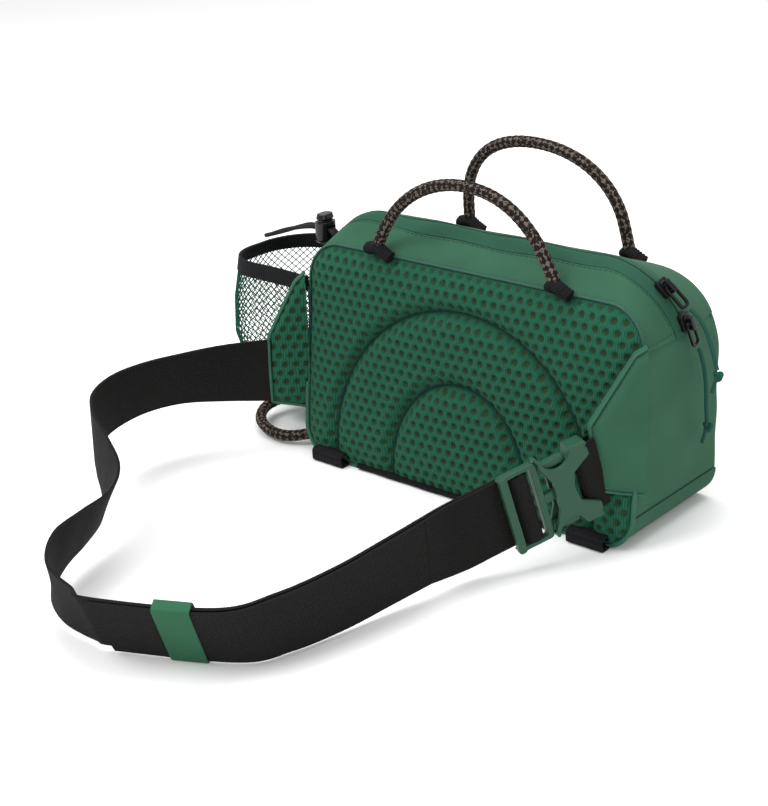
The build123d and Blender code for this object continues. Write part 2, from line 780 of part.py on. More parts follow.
def belt_station(index, shift):
    """Plane across the webbing at a point of its route, and its two edges' direction."""
    middle = Vector(*belt_route[index][0])
    lean_x, lean_y = belt_route[index][1]
    rise = sqrt(webbing_width**2 - lean_x**2 - lean_y**2)
    edge = Vector(lean_x, lean_y, rise).normalized()
    before = Vector(*belt_route[max(index - 1, 0)][0])
    after = Vector(*belt_route[min(index + 1, len(belt_route) - 1)][0])
    along = (after - before).normalized()
    face = edge.cross(along).normalized()
    along = face.cross(edge).normalized()
    return Plane(origin=middle + face * shift, x_dir=edge, z_dir=along)


def strap_solid(first, last, shift, label):
    """Flat strap as a ruled loft between stations of the belt's route."""
    with BuildPart() as strap:
        for index in range(first, last):
            with BuildPart(mode=Mode.PRIVATE) as span:
                for station in (index, index + 1):
                    with BuildSketch(belt_station(station, shift)):
                        Rectangle(webbing_width, webbing)
                loft(ruled=True)
            add(span.part)
    finish(strap, label)


strap_solid(0, len(belt_route) - 1, 0.0, "belt_webbing")
tail_shift = -webbing - 1.0
strap_solid(tail_start, len(belt_route) - 1, tail_shift, "belt_tail")

# Keeper: an elastic band round both layers, on a straight run of the belt.
keeper_length = 18.0
keeper_wall = 1.2
keeper_gap = 0.5
keeper_travel = 5.0
keeper_shift = 9.0  # from the middle of its straight run, towards the buckle
keeper_from = Vector(*belt_route[keeper_run][0])
keeper_to = Vector(*belt_route[keeper_run + 1][0])
keeper_along = (keeper_to - keeper_from).normalized()
keeper_edge = belt_station(keeper_run, 0).x_dir
keeper_face = keeper_edge.cross(keeper_along).normalized()
keeper_edge = keeper_along.cross(keeper_face).normalized()
keeper_middle = (
    (keeper_from + keeper_to) * 0.5 + keeper_face * (tail_shift / 2) + keeper_along * keeper_shift
)
keeper_plane = Plane(
    origin=keeper_middle - keeper_along * (keeper_length / 2), x_dir=keeper_edge, z_dir=keeper_along
)
keeper_inside = 2 * webbing + 1.0 + 2 * keeper_gap
with BuildPart() as keeper:
    with BuildSketch(keeper_plane):
        RectangleRounded(
            webbing_width + 2 * keeper_gap + 2 * keeper_wall, keeper_inside + 2 * keeper_wall, 1.5
        )
        Rectangle(webbing_width + 2 * keeper_gap, keeper_inside, mode=Mode.SUBTRACT)
    extrude(amount=keeper_length)
finish(keeper, "belt_keeper")

# ---------------------------------------------------------------- front pocket
front_pocket_width = 176.0
front_pocket_height = 84.0
front_pocket_foot = 12.0
front_pocket_corner = 16.0
pocket_zip_height = 6.0
pocket_face = front_plane.offset(-0.05)
with BuildPart() as front_pocket:
    with BuildSketch(pocket_face):
        with Locations((0, front_pocket_foot + front_pocket_height / 2)):
            RectangleRounded(front_pocket_width, front_pocket_height, front_pocket_corner)
    extrude(amount=-fabric)
finish(front_pocket, "front_pocket_panel")

pocket_zip_z = front_pocket_foot + front_pocket_height + pocket_zip_height / 2 + 0.1
pocket_zip_length = 160.0
with BuildPart() as front_zip:
    with BuildSketch(pocket_face):
        with Locations((0, pocket_zip_z)):
            Rectangle(pocket_zip_length, pocket_zip_height)
    extrude(amount=-1.0)
finish(front_zip, "front_pocket_zipper")

front_slider_x = pocket_zip_length / 2 - slider_length
front_slider_plane = Plane(
    origin=(front_slider_x, half_depth + 0.05 + fabric + running_gap, pocket_zip_z),
    x_dir=(1, 0, 0), z_dir=(0, 1, 0),
)
slider_solid(front_slider_plane, "front_slider")
pull_solid(front_slider_plane, "front_pull_loop")

whole = Compound(children=parts)
box = whole.bounding_box()
print("pieces", len(parts), "box", box.min, box.max)
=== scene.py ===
# %% [markdown]
# # A waist pack, piece by piece
# The pack stands on its base with its padded back towards us and its belt lying round in front.
# The hard pieces come from the CAD model. The cloth, mesh, net, webbing and rope are made here.
# Everything is in metres in the CAD model's frame: X across, -Y to the wearer, Z up.

import bpy
import json
import numpy as np
from math import cos, pi, radians, sin, sqrt
from mathutils import Matrix, Vector

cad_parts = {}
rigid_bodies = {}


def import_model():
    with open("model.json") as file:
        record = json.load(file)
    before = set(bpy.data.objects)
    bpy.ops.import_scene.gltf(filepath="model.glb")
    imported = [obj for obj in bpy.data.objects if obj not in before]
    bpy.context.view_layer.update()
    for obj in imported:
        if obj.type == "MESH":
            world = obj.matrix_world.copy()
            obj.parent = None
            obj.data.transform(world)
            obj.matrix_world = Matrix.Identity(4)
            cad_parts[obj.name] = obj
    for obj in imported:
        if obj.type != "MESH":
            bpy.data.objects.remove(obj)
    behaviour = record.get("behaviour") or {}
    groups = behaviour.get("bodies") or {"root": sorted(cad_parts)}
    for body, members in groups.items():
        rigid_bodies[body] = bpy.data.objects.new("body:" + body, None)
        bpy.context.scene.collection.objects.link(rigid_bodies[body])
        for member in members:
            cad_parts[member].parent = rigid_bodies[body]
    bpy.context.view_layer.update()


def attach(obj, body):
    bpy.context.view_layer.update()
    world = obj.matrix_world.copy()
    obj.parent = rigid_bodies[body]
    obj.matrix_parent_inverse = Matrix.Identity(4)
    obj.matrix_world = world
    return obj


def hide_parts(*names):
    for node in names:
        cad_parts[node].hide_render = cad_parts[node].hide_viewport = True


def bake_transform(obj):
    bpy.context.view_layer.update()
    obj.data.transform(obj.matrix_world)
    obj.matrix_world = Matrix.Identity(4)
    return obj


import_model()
MM = 0.001

# %% [markdown]
# ## Camera
# The pack is seen from its right and a little above, through a long lens that keeps its
# uprights nearly parallel. The camera is made first, because loose cords are judged by it.

# %% Make the camera
camera_place = Vector((0.5278, -0.6905, 0.3995))
camera_right = Vector((0.7573, 0.6517, -0.042))
camera_up = Vector((-0.2172, 0.312, 0.9249))
camera_back = camera_right.cross(camera_up)
bpy.ops.object.select_all(action="DESELECT")
bpy.ops.object.camera_add(location=camera_place)
camera = bpy.context.object
camera.matrix_world = Matrix.Translation(camera_place) @ Matrix(
    (camera_right, camera_up, camera_back)
).transposed().to_4x4()
camera.data.lens = 75.5
camera.data.clip_end = 20
bpy.context.scene.camera = camera
print("camera", tuple(round(c, 3) for c in camera.location))

# %% [markdown]
# ## Helpers
# Most soft pieces here are sheets. A sheet starts as a grid, each of its corners is laid where
# a rule says, and it gets its thickness from a Solidify modifier that is then applied.

# %% Small helpers
def deselect():
    """Nothing selected, and object mode."""
    if bpy.context.object and bpy.context.object.mode != "OBJECT":
        bpy.ops.object.mode_set(mode="OBJECT")
    bpy.ops.object.select_all(action="DESELECT")


def choose(piece):
    """Only this piece selected and active."""
    deselect()
    piece.select_set(True)
    bpy.context.view_layer.objects.active = piece


def apply_modifier(piece, kind, **settings):
    """Adds a modifier, sets it and applies it."""
    choose(piece)
    modifier = piece.modifiers.new(kind.lower(), kind)
    for key, value in settings.items():
        setattr(modifier, key, value)
    bpy.ops.object.modifier_apply(modifier=modifier.name)


def paint(piece, material):
    piece.data.materials.clear()
    piece.data.materials.append(material)


def smooth(piece, angle=40):
    choose(piece)
    bpy.ops.object.shade_smooth_by_angle(angle=radians(angle))


def finish_piece(piece, material, body="bag", nodes=()):
    """Finish, material slot, body and the CAD nodes that a piece stands for."""
    paint(piece, material)
    if body:
        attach(piece, body)
    if nodes:
        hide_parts(*nodes)
    print(piece.name, "faces", len(piece.data.polygons))
    return piece


# %% Sheets laid by a rule
def lay_sheet(name, columns, rows, rule, inside=None, size=(1.0, 1.0)):
    """A grid whose corners lie where rule(u, v) says, in millimetres, faces away from inside."""
    deselect()
    bpy.ops.mesh.primitive_grid_add(x_subdivisions=columns, y_subdivisions=rows, size=2, calc_uvs=True)
    piece = bpy.context.object
    piece.name = name
    mesh = piece.data
    flat = np.empty(len(mesh.vertices) * 3)
    mesh.vertices.foreach_get("co", flat)
    flat = flat.reshape(-1, 3)
    u = np.clip((flat[:, 0] + 1) / 2, 0, 1)
    v = np.clip((flat[:, 1] + 1) / 2, 0, 1)
    laid = np.stack(rule(u, v), axis=1) * MM
    mesh.vertices.foreach_set("co", laid.ravel())
    mesh.update()
    uv = np.empty(len(mesh.loops) * 2)
    mesh.uv_layers.active.data.foreach_get("uv", uv)
    uv = uv.reshape(-1, 2) * np.array(size)
    mesh.uv_layers.active.data.foreach_set("uv", uv.ravel())
    if inside is not None:
        face_out(piece, inside)
    return piece


def face_out(piece, inside):
    """Turns the faces so that they look away from a point, in millimetres."""
    mesh = piece.data
    middle = np.array(inside) * MM
    total = 0.0
    for face in mesh.polygons:
        total += face.area * float(np.dot(face.normal, np.array(face.center) - middle))
    if total < 0:
        choose(piece)
        bpy.ops.object.mode_set(mode="EDIT")
        bpy.ops.mesh.select_all(action="SELECT")
        bpy.ops.mesh.flip_normals()
        bpy.ops.object.mode_set(mode="OBJECT")


def thicken(piece, thickness, offset=-1.0):
    """Gives a sheet its thickness, in millimetres."""
    apply_modifier(piece, "SOLIDIFY", thickness=thickness * MM, offset=offset, use_even_offset=False)


# %% [markdown]
# ## Finishes
# All the finishes are procedural. Cloth has a fine weave in its bump and a little uneven dye.
# The spacer mesh is darkened with painted shade by attributes that are high in its holes and
# along its quilting grooves. Webbing and rope are patterned along their own length, so their patterns are
# laid on their UV maps.

# %% Node helpers
def new_material(name, colour, roughness, sheen=0.0, coat=0.0, specular=0.5):
    material = bpy.data.materials.new(name)
    material.use_nodes = True
    shader = material.node_tree.nodes["Principled BSDF"]
    shader.inputs["Base Color"].default_value = (*colour, 1)
    shader.inputs["Roughness"].default_value = roughness
    shader.inputs["Sheen Weight"].default_value = sheen
    shader.inputs["Sheen Roughness"].default_value = 0.4
    shader.inputs["Coat Weight"].default_value = coat
    shader.inputs["Specular IOR Level"].default_value = specular
    return material


def node(material, kind, **settings):
    made = material.node_tree.nodes.new(kind)
    for key, value in settings.items():
        if hasattr(made, key):
            setattr(made, key, value)
        else:
            made.inputs[key.replace("_", " ")].default_value = value
    return made


def link(material, out_socket, in_socket):
    material.node_tree.links.new(out_socket, in_socket)


def stretched(material, source, scale):
    """The material's coordinates times a scale for each axis."""
    coordinates = node(material, "ShaderNodeTexCoord")
    mapping = node(material, "ShaderNodeMapping")
    mapping.inputs["Scale"].default_value = scale
    link(material, coordinates.outputs[source], mapping.inputs["Vector"])
    return mapping.outputs["Vector"]


def mix_colours(material, factor, first, second):
    mix = node(material, "ShaderNodeMix", data_type="RGBA")
    link(material, factor, mix.inputs[0])
    for socket, value in ((6, first), (7, second)):
        if isinstance(value, tuple):
            mix.inputs[socket].default_value = (*value, 1)
        else:
            link(material, value, mix.inputs[socket])
    return mix.outputs[2]


def bump_by(material, height, strength, distance):
    bump = node(material, "ShaderNodeBump")
    bump.inputs["Strength"].default_value = strength
    bump.inputs["Distance"].default_value = distance
    link(material, height, bump.inputs["Height"])
    shader = material.node_tree.nodes["Principled BSDF"]
    link(material, bump.outputs["Normal"], shader.inputs["Normal"])


def maths(material, operation, first, second):
    made = node(material, "ShaderNodeMath", operation=operation)
    for socket, value in ((0, first), (1, second)):
        if isinstance(value, (int, float)):
            made.inputs[socket].default_value = value
        else:
            link(material, value, made.inputs[socket])
    return made.outputs[0]


def base_colour(material, colour):
    link(material, colour, material.node_tree.nodes["Principled BSDF"].inputs["Base Color"])


# %% Woven cloth
def cloth_finish(name, colour, thread=0.0006):
    """Plain-woven cloth: two sets of fine threads and slightly uneven dye."""
    material = new_material(name, colour, 0.85, sheen=0.03, specular=0.12)
    place = stretched(material, "Object", (1 / thread, 1 / thread, 1 / thread))
    warp = node(material, "ShaderNodeTexWave", bands_direction="X", Scale=0.16, Distortion=0.6)
    weft = node(material, "ShaderNodeTexWave", bands_direction="Z", Scale=0.16, Distortion=0.6)
    for wave in (warp, weft):
        link(material, place, wave.inputs["Vector"])
    weave = maths(material, "ADD", warp.outputs["Fac"], weft.outputs["Fac"])
    bump_by(material, weave, 0.12, 0.0002)
    blotch = node(material, "ShaderNodeTexNoise", Scale=38.0, Detail=4.0)
    link(material, stretched(material, "Object", (1, 1, 1)), blotch.inputs["Vector"])
    light = tuple(min(1, c * 1.22) for c in colour)
    dark = tuple(c * 0.82 for c in colour)
    dye = mix_colours(material, blotch.outputs["Fac"], dark, light)
    base_colour(material, dye)
    return material


green = (0.027, 0.088, 0.051)
shell_cloth = cloth_finish("shell_cloth", green)
trim_cloth = cloth_finish("trim_cloth", (0.030, 0.105, 0.066))
tape_cloth = cloth_finish("tape_cloth", (0.018, 0.070, 0.043))
keeper_cloth = cloth_finish("keeper_cloth", (0.024, 0.098, 0.050))
lining_cloth = cloth_finish("lining_cloth", (0.05, 0.06, 0.06))

# %% Spacer mesh
mesh_cloth = new_material("spacer_mesh", (0.02, 0.14, 0.09), 0.85, sheen=0.03, specular=0.12)
hole = node(mesh_cloth, "ShaderNodeAttribute", attribute_name="hole")
threads = node(mesh_cloth, "ShaderNodeTexWave", bands_direction="X", Scale=1.0, Distortion=2.5)
threads.inputs["Detail"].default_value = 2.0
link(mesh_cloth, stretched(mesh_cloth, "Object", (260, 260, 90)), threads.inputs["Vector"])
thread_green = mix_colours(mesh_cloth, threads.outputs["Fac"], (0.009, 0.058, 0.032), (0.014, 0.100, 0.058))
seam = node(mesh_cloth, "ShaderNodeAttribute", attribute_name="seam")
# Painted shade in the holes: where the hole attribute is high, the threads' green gives way to a dark olive.
knit_with_hole_shade = mix_colours(mesh_cloth, hole.outputs["Fac"], thread_green, (0.020, 0.046, 0.018))
# Painted shade along the quilting grooves: the seam attribute darkens the mesh almost to black there.
base_colour(mesh_cloth, mix_colours(mesh_cloth, seam.outputs["Fac"], knit_with_hole_shade, (0.004, 0.024, 0.016)))
bump_by(mesh_cloth, threads.outputs["Fac"], 0.35, 0.0004)

# %% Webbing, rope and cord
def webbing_finish(name, colour, rib=0.0011):
    """Heavy ribbed webbing: ribs across the width, and fine wefts along the length."""
    material = new_material(name, colour, 0.8, sheen=0.0, specular=0.1)
    ribs = node(material, "ShaderNodeTexWave", bands_direction="X", Scale=0.5)
    link(material, stretched(material, "UV", (0.7 / rib, 0.7 / rib, 1)), ribs.inputs["Vector"])
    wefts = node(material, "ShaderNodeTexWave", bands_direction="Y", Scale=0.5)
    link(material, stretched(material, "UV", (0.4 / rib, 0.4 / rib, 1)), wefts.inputs["Vector"])
    height = maths(material, "ADD", ribs.outputs["Fac"], wefts.outputs["Fac"])
    bump_by(material, height, 0.5, 0.0005)
    light = tuple(c * 1.7 + 0.002 for c in colour)
    base_colour(material, mix_colours(material, ribs.outputs["Fac"], colour, light))
    return material


black_webbing = webbing_finish("black_webbing", (0.0062, 0.0058, 0.0056))
black_binding = webbing_finish("black_binding", (0.006, 0.006, 0.007), 0.0016)


def braid_finish(name, colour, fleck, length, around):
    """Braided sleeve: two colours in slanting checks on the UV map."""
    material = new_material(name, colour, 0.8, sheen=0.0, specular=0.1)
    turned = node(material, "ShaderNodeMapping")
    turned.inputs["Rotation"].default_value = (0, 0, radians(45))
    link(material, stretched(material, "UV", (1 / length, around, 1)), turned.inputs["Vector"])
    checks = node(material, "ShaderNodeTexChecker", Scale=1.0)
    link(material, turned.outputs["Vector"], checks.inputs["Vector"])
    chance = node(material, "ShaderNodeTexNoise", Scale=1.4, Detail=1.0)
    link(material, turned.outputs["Vector"], chance.inputs["Vector"])
    often = maths(material, "GREATER_THAN", chance.outputs["Fac"], 0.47)
    shown = maths(material, "MULTIPLY", checks.outputs["Fac"], often)
    base_colour(material, mix_colours(material, shown, colour, fleck))
    return material


rope_braid = braid_finish("rope_braid", (0.010, 0.008, 0.007), (0.115, 0.090, 0.075), 0.0026, 9)
green_cord = new_material("green_cord", (0.012, 0.058, 0.044), 0.8, sheen=0.0, specular=0.15)
black_elastic = new_material("black_elastic", (0.009, 0.008, 0.008), 0.7, specular=0.2)
net_cord = new_material("net_cord", (0.010, 0.075, 0.045), 0.8, specular=0.15)
thread_finish = new_material("thread", (0.010, 0.060, 0.042), 0.7)

# %% Moulded and painted finishes
def moulded_finish(name, colour, roughness, coat=0.0, specular=0.22):
    """Injection-moulded plastic with a very fine grain."""
    material = new_material(name, colour, roughness, coat=coat, specular=specular)
    grain = node(material, "ShaderNodeTexNoise", Scale=900.0, Detail=2.0)
    link(material, stretched(material, "Object", (1, 1, 1)), grain.inputs["Vector"])
    bump_by(material, grain.outputs["Fac"], 0.06, 0.0002)
    return material


buckle_green = moulded_finish("buckle_green", (0.017, 0.066, 0.038), 0.36)
gloss_black = moulded_finish("gloss_black", (0.006, 0.006, 0.007), 0.14, specular=0.35)
black_metal = moulded_finish("black_metal", (0.006, 0.006, 0.007), 0.28)
coil_black = moulded_finish("coil_black", (0.008, 0.008, 0.008), 0.45)
bright_steel = moulded_finish("bright_steel", (0.55, 0.55, 0.55), 0.3, specular=0.5)
print("materials", len(bpy.data.materials))

# %% [markdown]
# ## Cords and ropes
# Each cord follows a smooth NURBS line through the same points as its CAD tube. The thin cords
# stay curves with a round bevel. The ropes are braided sleeves, so their surface is a tube whose
# rings follow the same line, with slanting ridges where the strands cross.

# %% Lines and tubes
def nurbs_line(name, points, radius=0.0):
    """Open NURBS curve through control points given in millimetres."""
    curve = bpy.data.curves.new(name, "CURVE")
    curve.dimensions = "3D"
    curve.resolution_u = 10
    spline = curve.splines.new("NURBS")
    spline.points.add(len(points) - 1)
    for control, point in zip(spline.points, points):
        control.co = (*[c * MM for c in point], 1)
    spline.order_u = 3
    spline.use_endpoint_u = True
    curve.bevel_depth = radius * MM
    curve.bevel_resolution = 4
    curve.use_fill_caps = True
    piece = bpy.data.objects.new(name, curve)
    bpy.context.collection.objects.link(piece)
    return piece


def line_points(curve_piece):
    """Points along a curve's own line, in metres."""
    bpy.context.view_layer.update()
    mesh = bpy.data.meshes.new_from_object(curve_piece.evaluated_get(bpy.context.evaluated_depsgraph_get()))
    points = np.array([tuple(vertex.co) for vertex in mesh.vertices])
    bpy.data.meshes.remove(mesh)
    return points


def even_points(points, step):
    """The same line with its points evenly spaced."""
    runs = np.linalg.norm(np.diff(points, axis=0), axis=1)
    along = np.concatenate([[0], np.cumsum(runs)])
    count = max(int(round(along[-1] / step)), 2)
    where = np.linspace(0, along[-1], count + 1)
    return np.stack([np.interp(where, along, points[:, axis]) for axis in range(3)], axis=1), along[-1]


def carried_frames(points):
    """Two directions across a line at each of its points, carried along without twist."""
    tangents = np.gradient(points, axis=0)
    tangents /= np.linalg.norm(tangents, axis=1)[:, None]
    start = np.array([0.0, 0.0, 1.0]) if abs(tangents[0][2]) < 0.9 else np.array([1.0, 0.0, 0.0])
    side = np.cross(tangents[0], start)
    side /= np.linalg.norm(side)
    sides = [side]
    for tangent in tangents[1:]:
        side = side - tangent * np.dot(side, tangent)
        side = side / np.linalg.norm(side)
        sides.append(side)
    sides = np.array(sides)
    return sides, np.cross(tangents, sides)


def braided_tube(name, points, radius, around=20, step=0.0009, ridge=0.05, ridges=8, pitch=0.0085):
    """Tube along points in metres, with the crossing ridges of a braid and a UV map in metres."""
    line, length = even_points(points, step)
    sides, ups = carried_frames(line)
    deselect()
    bpy.ops.mesh.primitive_grid_add(
        x_subdivisions=len(line) - 1, y_subdivisions=around, size=2, calc_uvs=True
    )
    piece = bpy.context.object
    piece.name = name
    mesh = piece.data
    flat = np.empty(len(mesh.vertices) * 3)
    mesh.vertices.foreach_get("co", flat)
    flat = flat.reshape(-1, 3)
    index = np.rint((flat[:, 0] + 1) / 2 * (len(line) - 1)).astype(int)
    turn = (flat[:, 1] + 1) * pi
    distance = index / (len(line) - 1) * length
    round_phase, long_phase = ridges * turn / 2, distance / pitch * 2 * pi
    wave = np.cos(round_phase + long_phase) * np.cos(round_phase - long_phase)
    reach = radius * (1 - ridge + ridge * wave)
    spoke = sides[index] * np.cos(turn)[:, None] + ups[index] * np.sin(turn)[:, None]
    laid = line[index] + spoke * reach[:, None]
    mesh.vertices.foreach_set("co", laid.ravel())
    uv = np.empty(len(mesh.loops) * 2)
    mesh.uv_layers.active.data.foreach_get("uv", uv)
    uv = uv.reshape(-1, 2) * np.array([length, 1.0])
    mesh.uv_layers.active.data.foreach_set("uv", uv.ravel())
    choose(piece)
    bpy.ops.object.mode_set(mode="EDIT")
    bpy.ops.mesh.select_all(action="SELECT")
    bpy.ops.mesh.remove_doubles(threshold=0.00002)
    bpy.ops.mesh.select_all(action="DESELECT")
    bpy.ops.mesh.select_non_manifold()
    bpy.ops.mesh.edge_face_add()
    bpy.ops.mesh.select_all(action="SELECT")
    bpy.ops.mesh.normals_make_consistent(inside=False)
    bpy.ops.object.mode_set(mode="OBJECT")
    smooth(piece, 60)
    return piece, line, length


# %% Thin cords
def finish_cord(piece, material, body):
    """Finish, material slot and body of a piece that stays a curve."""
    piece.data.materials.append(material)
    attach(piece, body)


upper_cord_points = [
    (118.0, -0.4, 120.6), (121.6, 0.6, 118.4), (126.6, 1.2, 110.8), (130.8, 0.8, 101.5), (134.6, -0.8, 91.9),
]
lower_cord_points = [
    (119.2, 7.5, 97.6), (121.6, 8.2, 90.5), (122.8, 9.4, 79.0), (122.6, 10.4, 67.5), (122.8, 11.2, 57.5),
]
bungee_points = [
    (-114.0, -7.5, 108.0), (-113.2, -7.0, 118.1), (-114.2, -6.5, 125.1), (-130.0, -6.5, 125.1),
    (-136.0, -5.4, 124.0), (-147.0, -2.5, 121.0), (-163.0, 1.0, 115.8), (-177.5, 4.6, 109.8),
    (-184.5, 6.5, 107.6), (-182.0, 12.0, 107.8), (-170.0, 11.0, 112.0), (-156.0, 6.6, 117.4),
    (-143.0, 1.0, 122.4), (-136.0, -1.9, 124.6), (-130.0, -3.5, 125.1), (-114.2, -3.5, 125.1),
    (-113.2, -3.0, 118.1), (-114.0, -1.2, 108.0),
]
knot_drop = np.array((0.6, 0.2, -2.9))
knot_scale = 0.78
overhand = [
    knot_scale * np.array((sin(a) + 2 * sin(2 * a), -sin(3 * a), cos(a) - 2 * cos(2 * a)))
    for a in np.linspace(0, 2 * pi, 17)[:-1]
]
loose_end = np.array([(-0.6, -0.6, -1), (-1.5, -1, -5), (-2.4, -1.2, -9)])
for cord_name, cord_points, cord_body in (
    ("upper_pull_cord", upper_cord_points, "upper_pull"),
    ("lower_pull_cord", lower_cord_points, "lower_pull"),
):
    cord_piece = nurbs_line(cord_name + "_line", cord_points, 1.1)
    cord_length = even_points(line_points(nurbs_line("measure", cord_points)), 0.001)[1]
    finish_cord(cord_piece, green_cord, cord_body)
    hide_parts(cord_name)
    knot_name = cord_name.replace("pull_cord", "cord_knot")
    middle = np.array(cord_points[-1]) + knot_drop
    knot_points = [tuple(middle + place) for place in overhand]
    knot = nurbs_line(knot_name + "_loops", knot_points, 1.05)
    knot.data.splines[0].use_cyclic_u = True
    end = nurbs_line(knot_name + "_end", [tuple(middle + place) for place in loose_end], 1.0)
    for piece in (knot, end):
        finish_cord(piece, green_cord, cord_body)
    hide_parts(knot_name)
    print(cord_name, round(cord_length, 4))

bungee = nurbs_line("bungee_line", bungee_points, 1.3)
bungee_length = even_points(line_points(nurbs_line("measure", bungee_points)), 0.001)[1]
bungee.data.materials.append(black_elastic)
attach(bungee, "bag")
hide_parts("pocket_bungee")
for leftover in [o for o in bpy.data.objects if o.name.startswith("measure")]:
    bpy.data.objects.remove(leftover)
print("bungee", round(bungee_length, 4))

# %% Ropes
rope_radius = 3.4
gear_loop_points = [
    (-162.0, -3.0, 10.8), (-168.0, -14.0, 9.0), (-164.0, -28.0, 7.2), (-152.0, -38.5, 5.8),
    (-136.5, -42.5, 5.0), (-123.5, -40.0, 5.6), (-115.0, -31.0, 7.5),
]
back_rise = [
    (-59, 0), (-54, 10), (-46, 21.5), (-34, 32), (-18, 39.5), (0, 42.5), (18, 40.5), (33, 34),
    (45, 23.5), (53, 11.5), (58.5, 0),
]
front_rise = [
    (-49.5, 0), (-50.5, 13), (-48.5, 26), (-41.5, 38), (-29, 46.5), (-11, 50.5), (10, 49.5),
    (28, 44), (42, 34.5), (51, 22.5), (55, 11), (57.5, 0),
]
ropes = {
    "gear_loop": (gear_loop_points, "bag", "medium"),
    "back_handle": ([(x, -31.2, 131.6 + h) for x, h in back_rise], "back_handle", "stiff"),
    "front_handle": ([(x, 38.0, 131.0 + h) for x, h in front_rise], "front_handle", "stiff"),
}
for rope_name, (rope_points, rope_body, rope_stiffness) in ropes.items():
    guide = nurbs_line("guide", rope_points)
    rope, rope_line, rope_length = braided_tube(rope_name + "_rope", line_points(guide), rope_radius * MM)
    bpy.data.objects.remove(guide)
    finish_piece(rope, rope_braid, rope_body, [rope_name])
    print(rope_name, round(rope_length, 4))

# %% Sewn-down rope ends
for handle_name, rise, end_y, end_z in (
    ("back_handle", back_rise, -31.2, 131.6), ("front_handle", front_rise, 38.0, 131.0),
):
    for side, foot in ((-1, rise[0][0]), (1, rise[-1][0])):
        lead = 7 if side < 0 else 3
        bend = [(foot - lead, end_y + 0.6, end_z - 2.6), (foot - 0.5, end_y - 0.6, end_z - 0.2),
                (foot + 5, end_y - 1.6, end_z - 2.4), (foot + 10, end_y - 1.4, end_z - 5.0)]
        guide = nurbs_line("guide", bend)
        wrap, _, _ = braided_tube(
            f"{handle_name}_end_{side}", line_points(guide), 4.0 * MM, ridge=0.16, ridges=3, pitch=0.004
        )
        bpy.data.objects.remove(guide)
        finish_piece(wrap, black_binding, nodes=[handle_name + "_tabs"])

# %% [markdown]
# ## The body's surface
# The bag is a band of cloth between the outline of its back and the outline of its front, with
# the zipper as a ridge between them over the top. One rule gives any point of that band: t runs
# round the outline from the middle of the base, and v runs from the back seam to the front.

# %% The band's rule
half_width = 112.0


def outline(t, half, top, foot_radius, top_radius):
    """x and z on a rounded outline; t goes once round it from the middle of its foot."""
    t = t % 1.0
    side = np.where(t <= 0.5, 1.0, -1.0)
    s = np.where(t <= 0.5, t, 1 - t)
    a = (s - 0.10) / 0.05 * pi / 2
    b = (s - 0.33) / 0.09 * pi / 2
    foot = s < 0.10
    low = s < 0.15
    wall = s < 0.33
    shoulder = s < 0.42
    x = np.select(
        [foot, low, wall, shoulder],
        [
            (half - foot_radius) * s / 0.10, half - foot_radius + foot_radius * np.sin(a),
            half + 0 * s, half - top_radius + top_radius * np.cos(b),
        ],
        (half - top_radius) * (1 - (s - 0.42) / 0.08),
    )
    z = np.select(
        [foot, low, wall, shoulder],
        [
            0 * s, foot_radius - foot_radius * np.cos(a),
            foot_radius + (top - top_radius - foot_radius) * (s - 0.15) / 0.18,
            top - top_radius + top_radius * np.sin(b),
        ],
        top + 0 * s,
    )
    return side * x, z


def back_line(t):
    x, z = outline(t, half_width, 127.0, 18.0, 22.0)
    return np.stack([x, -41 + 12.5 * z / 127, z], axis=-1)


def ridge_line(t):
    x, z = outline(t, half_width, 143.0, 18.0, 38.0)
    y = np.where(z > 105, 5 - 13 * (z - 105) / 38, z * 0.049)
    return np.stack([x, y, z], axis=-1)


def front_line(t):
    t = t % 1.0
    s = np.interp(np.where(t <= 0.5, t, 1 - t), (0, 0.15, 0.33, 0.42, 0.5), (0, 0.15, 0.3583, 0.42, 0.5))
    x, z = outline(np.where(t <= 0.5, s, 1 - s), half_width, 125.0, 18.0, 38.0)
    return np.stack([x, 41 + 0 * z, z], axis=-1)


def band(t, v):
    """Point of the band in millimetres."""
    back, ridge, front = back_line(t), ridge_line(t), front_line(t)
    v = v[:, None]
    flat = back + (front - back) * v
    soft = 0.10
    top = sqrt(1 + soft**2)
    rise = (top - np.sqrt((2 * v - 1) ** 2 + soft**2)) / (top - soft)
    lift = ridge - (back + front) / 2
    place = flat + lift * rise
    s = np.where(t % 1.0 <= 0.5, t % 1.0, 1 - t % 1.0)
    full = np.clip((s - 0.15) / 0.05, 0, 1) * np.clip((0.40 - s) / 0.06, 0, 1)
    side = np.where(t % 1.0 <= 0.5, 1.0, -1.0)
    swell = 1.0 * full * np.sin(pi * v[:, 0]) * np.sin(pi * np.clip((s - 0.13) / 0.3, 0, 1))
    creases = 0.35 * np.sin(place[:, 2] * 0.19 + place[:, 1] * 0.11) * np.sin(place[:, 1] * 0.16 + 1.3)
    place[:, 0] += side * (swell + creases * full)
    over = np.clip((s - 0.40) / 0.04, 0, 1)
    ripple = 0.5 * np.sin(place[:, 0] * 0.11 + place[:, 1] * 0.2)
    place[:, 2] += over * (ripple - 1.2 * rise[:, 0] * (1 - rise[:, 0]) * 2)
    return place


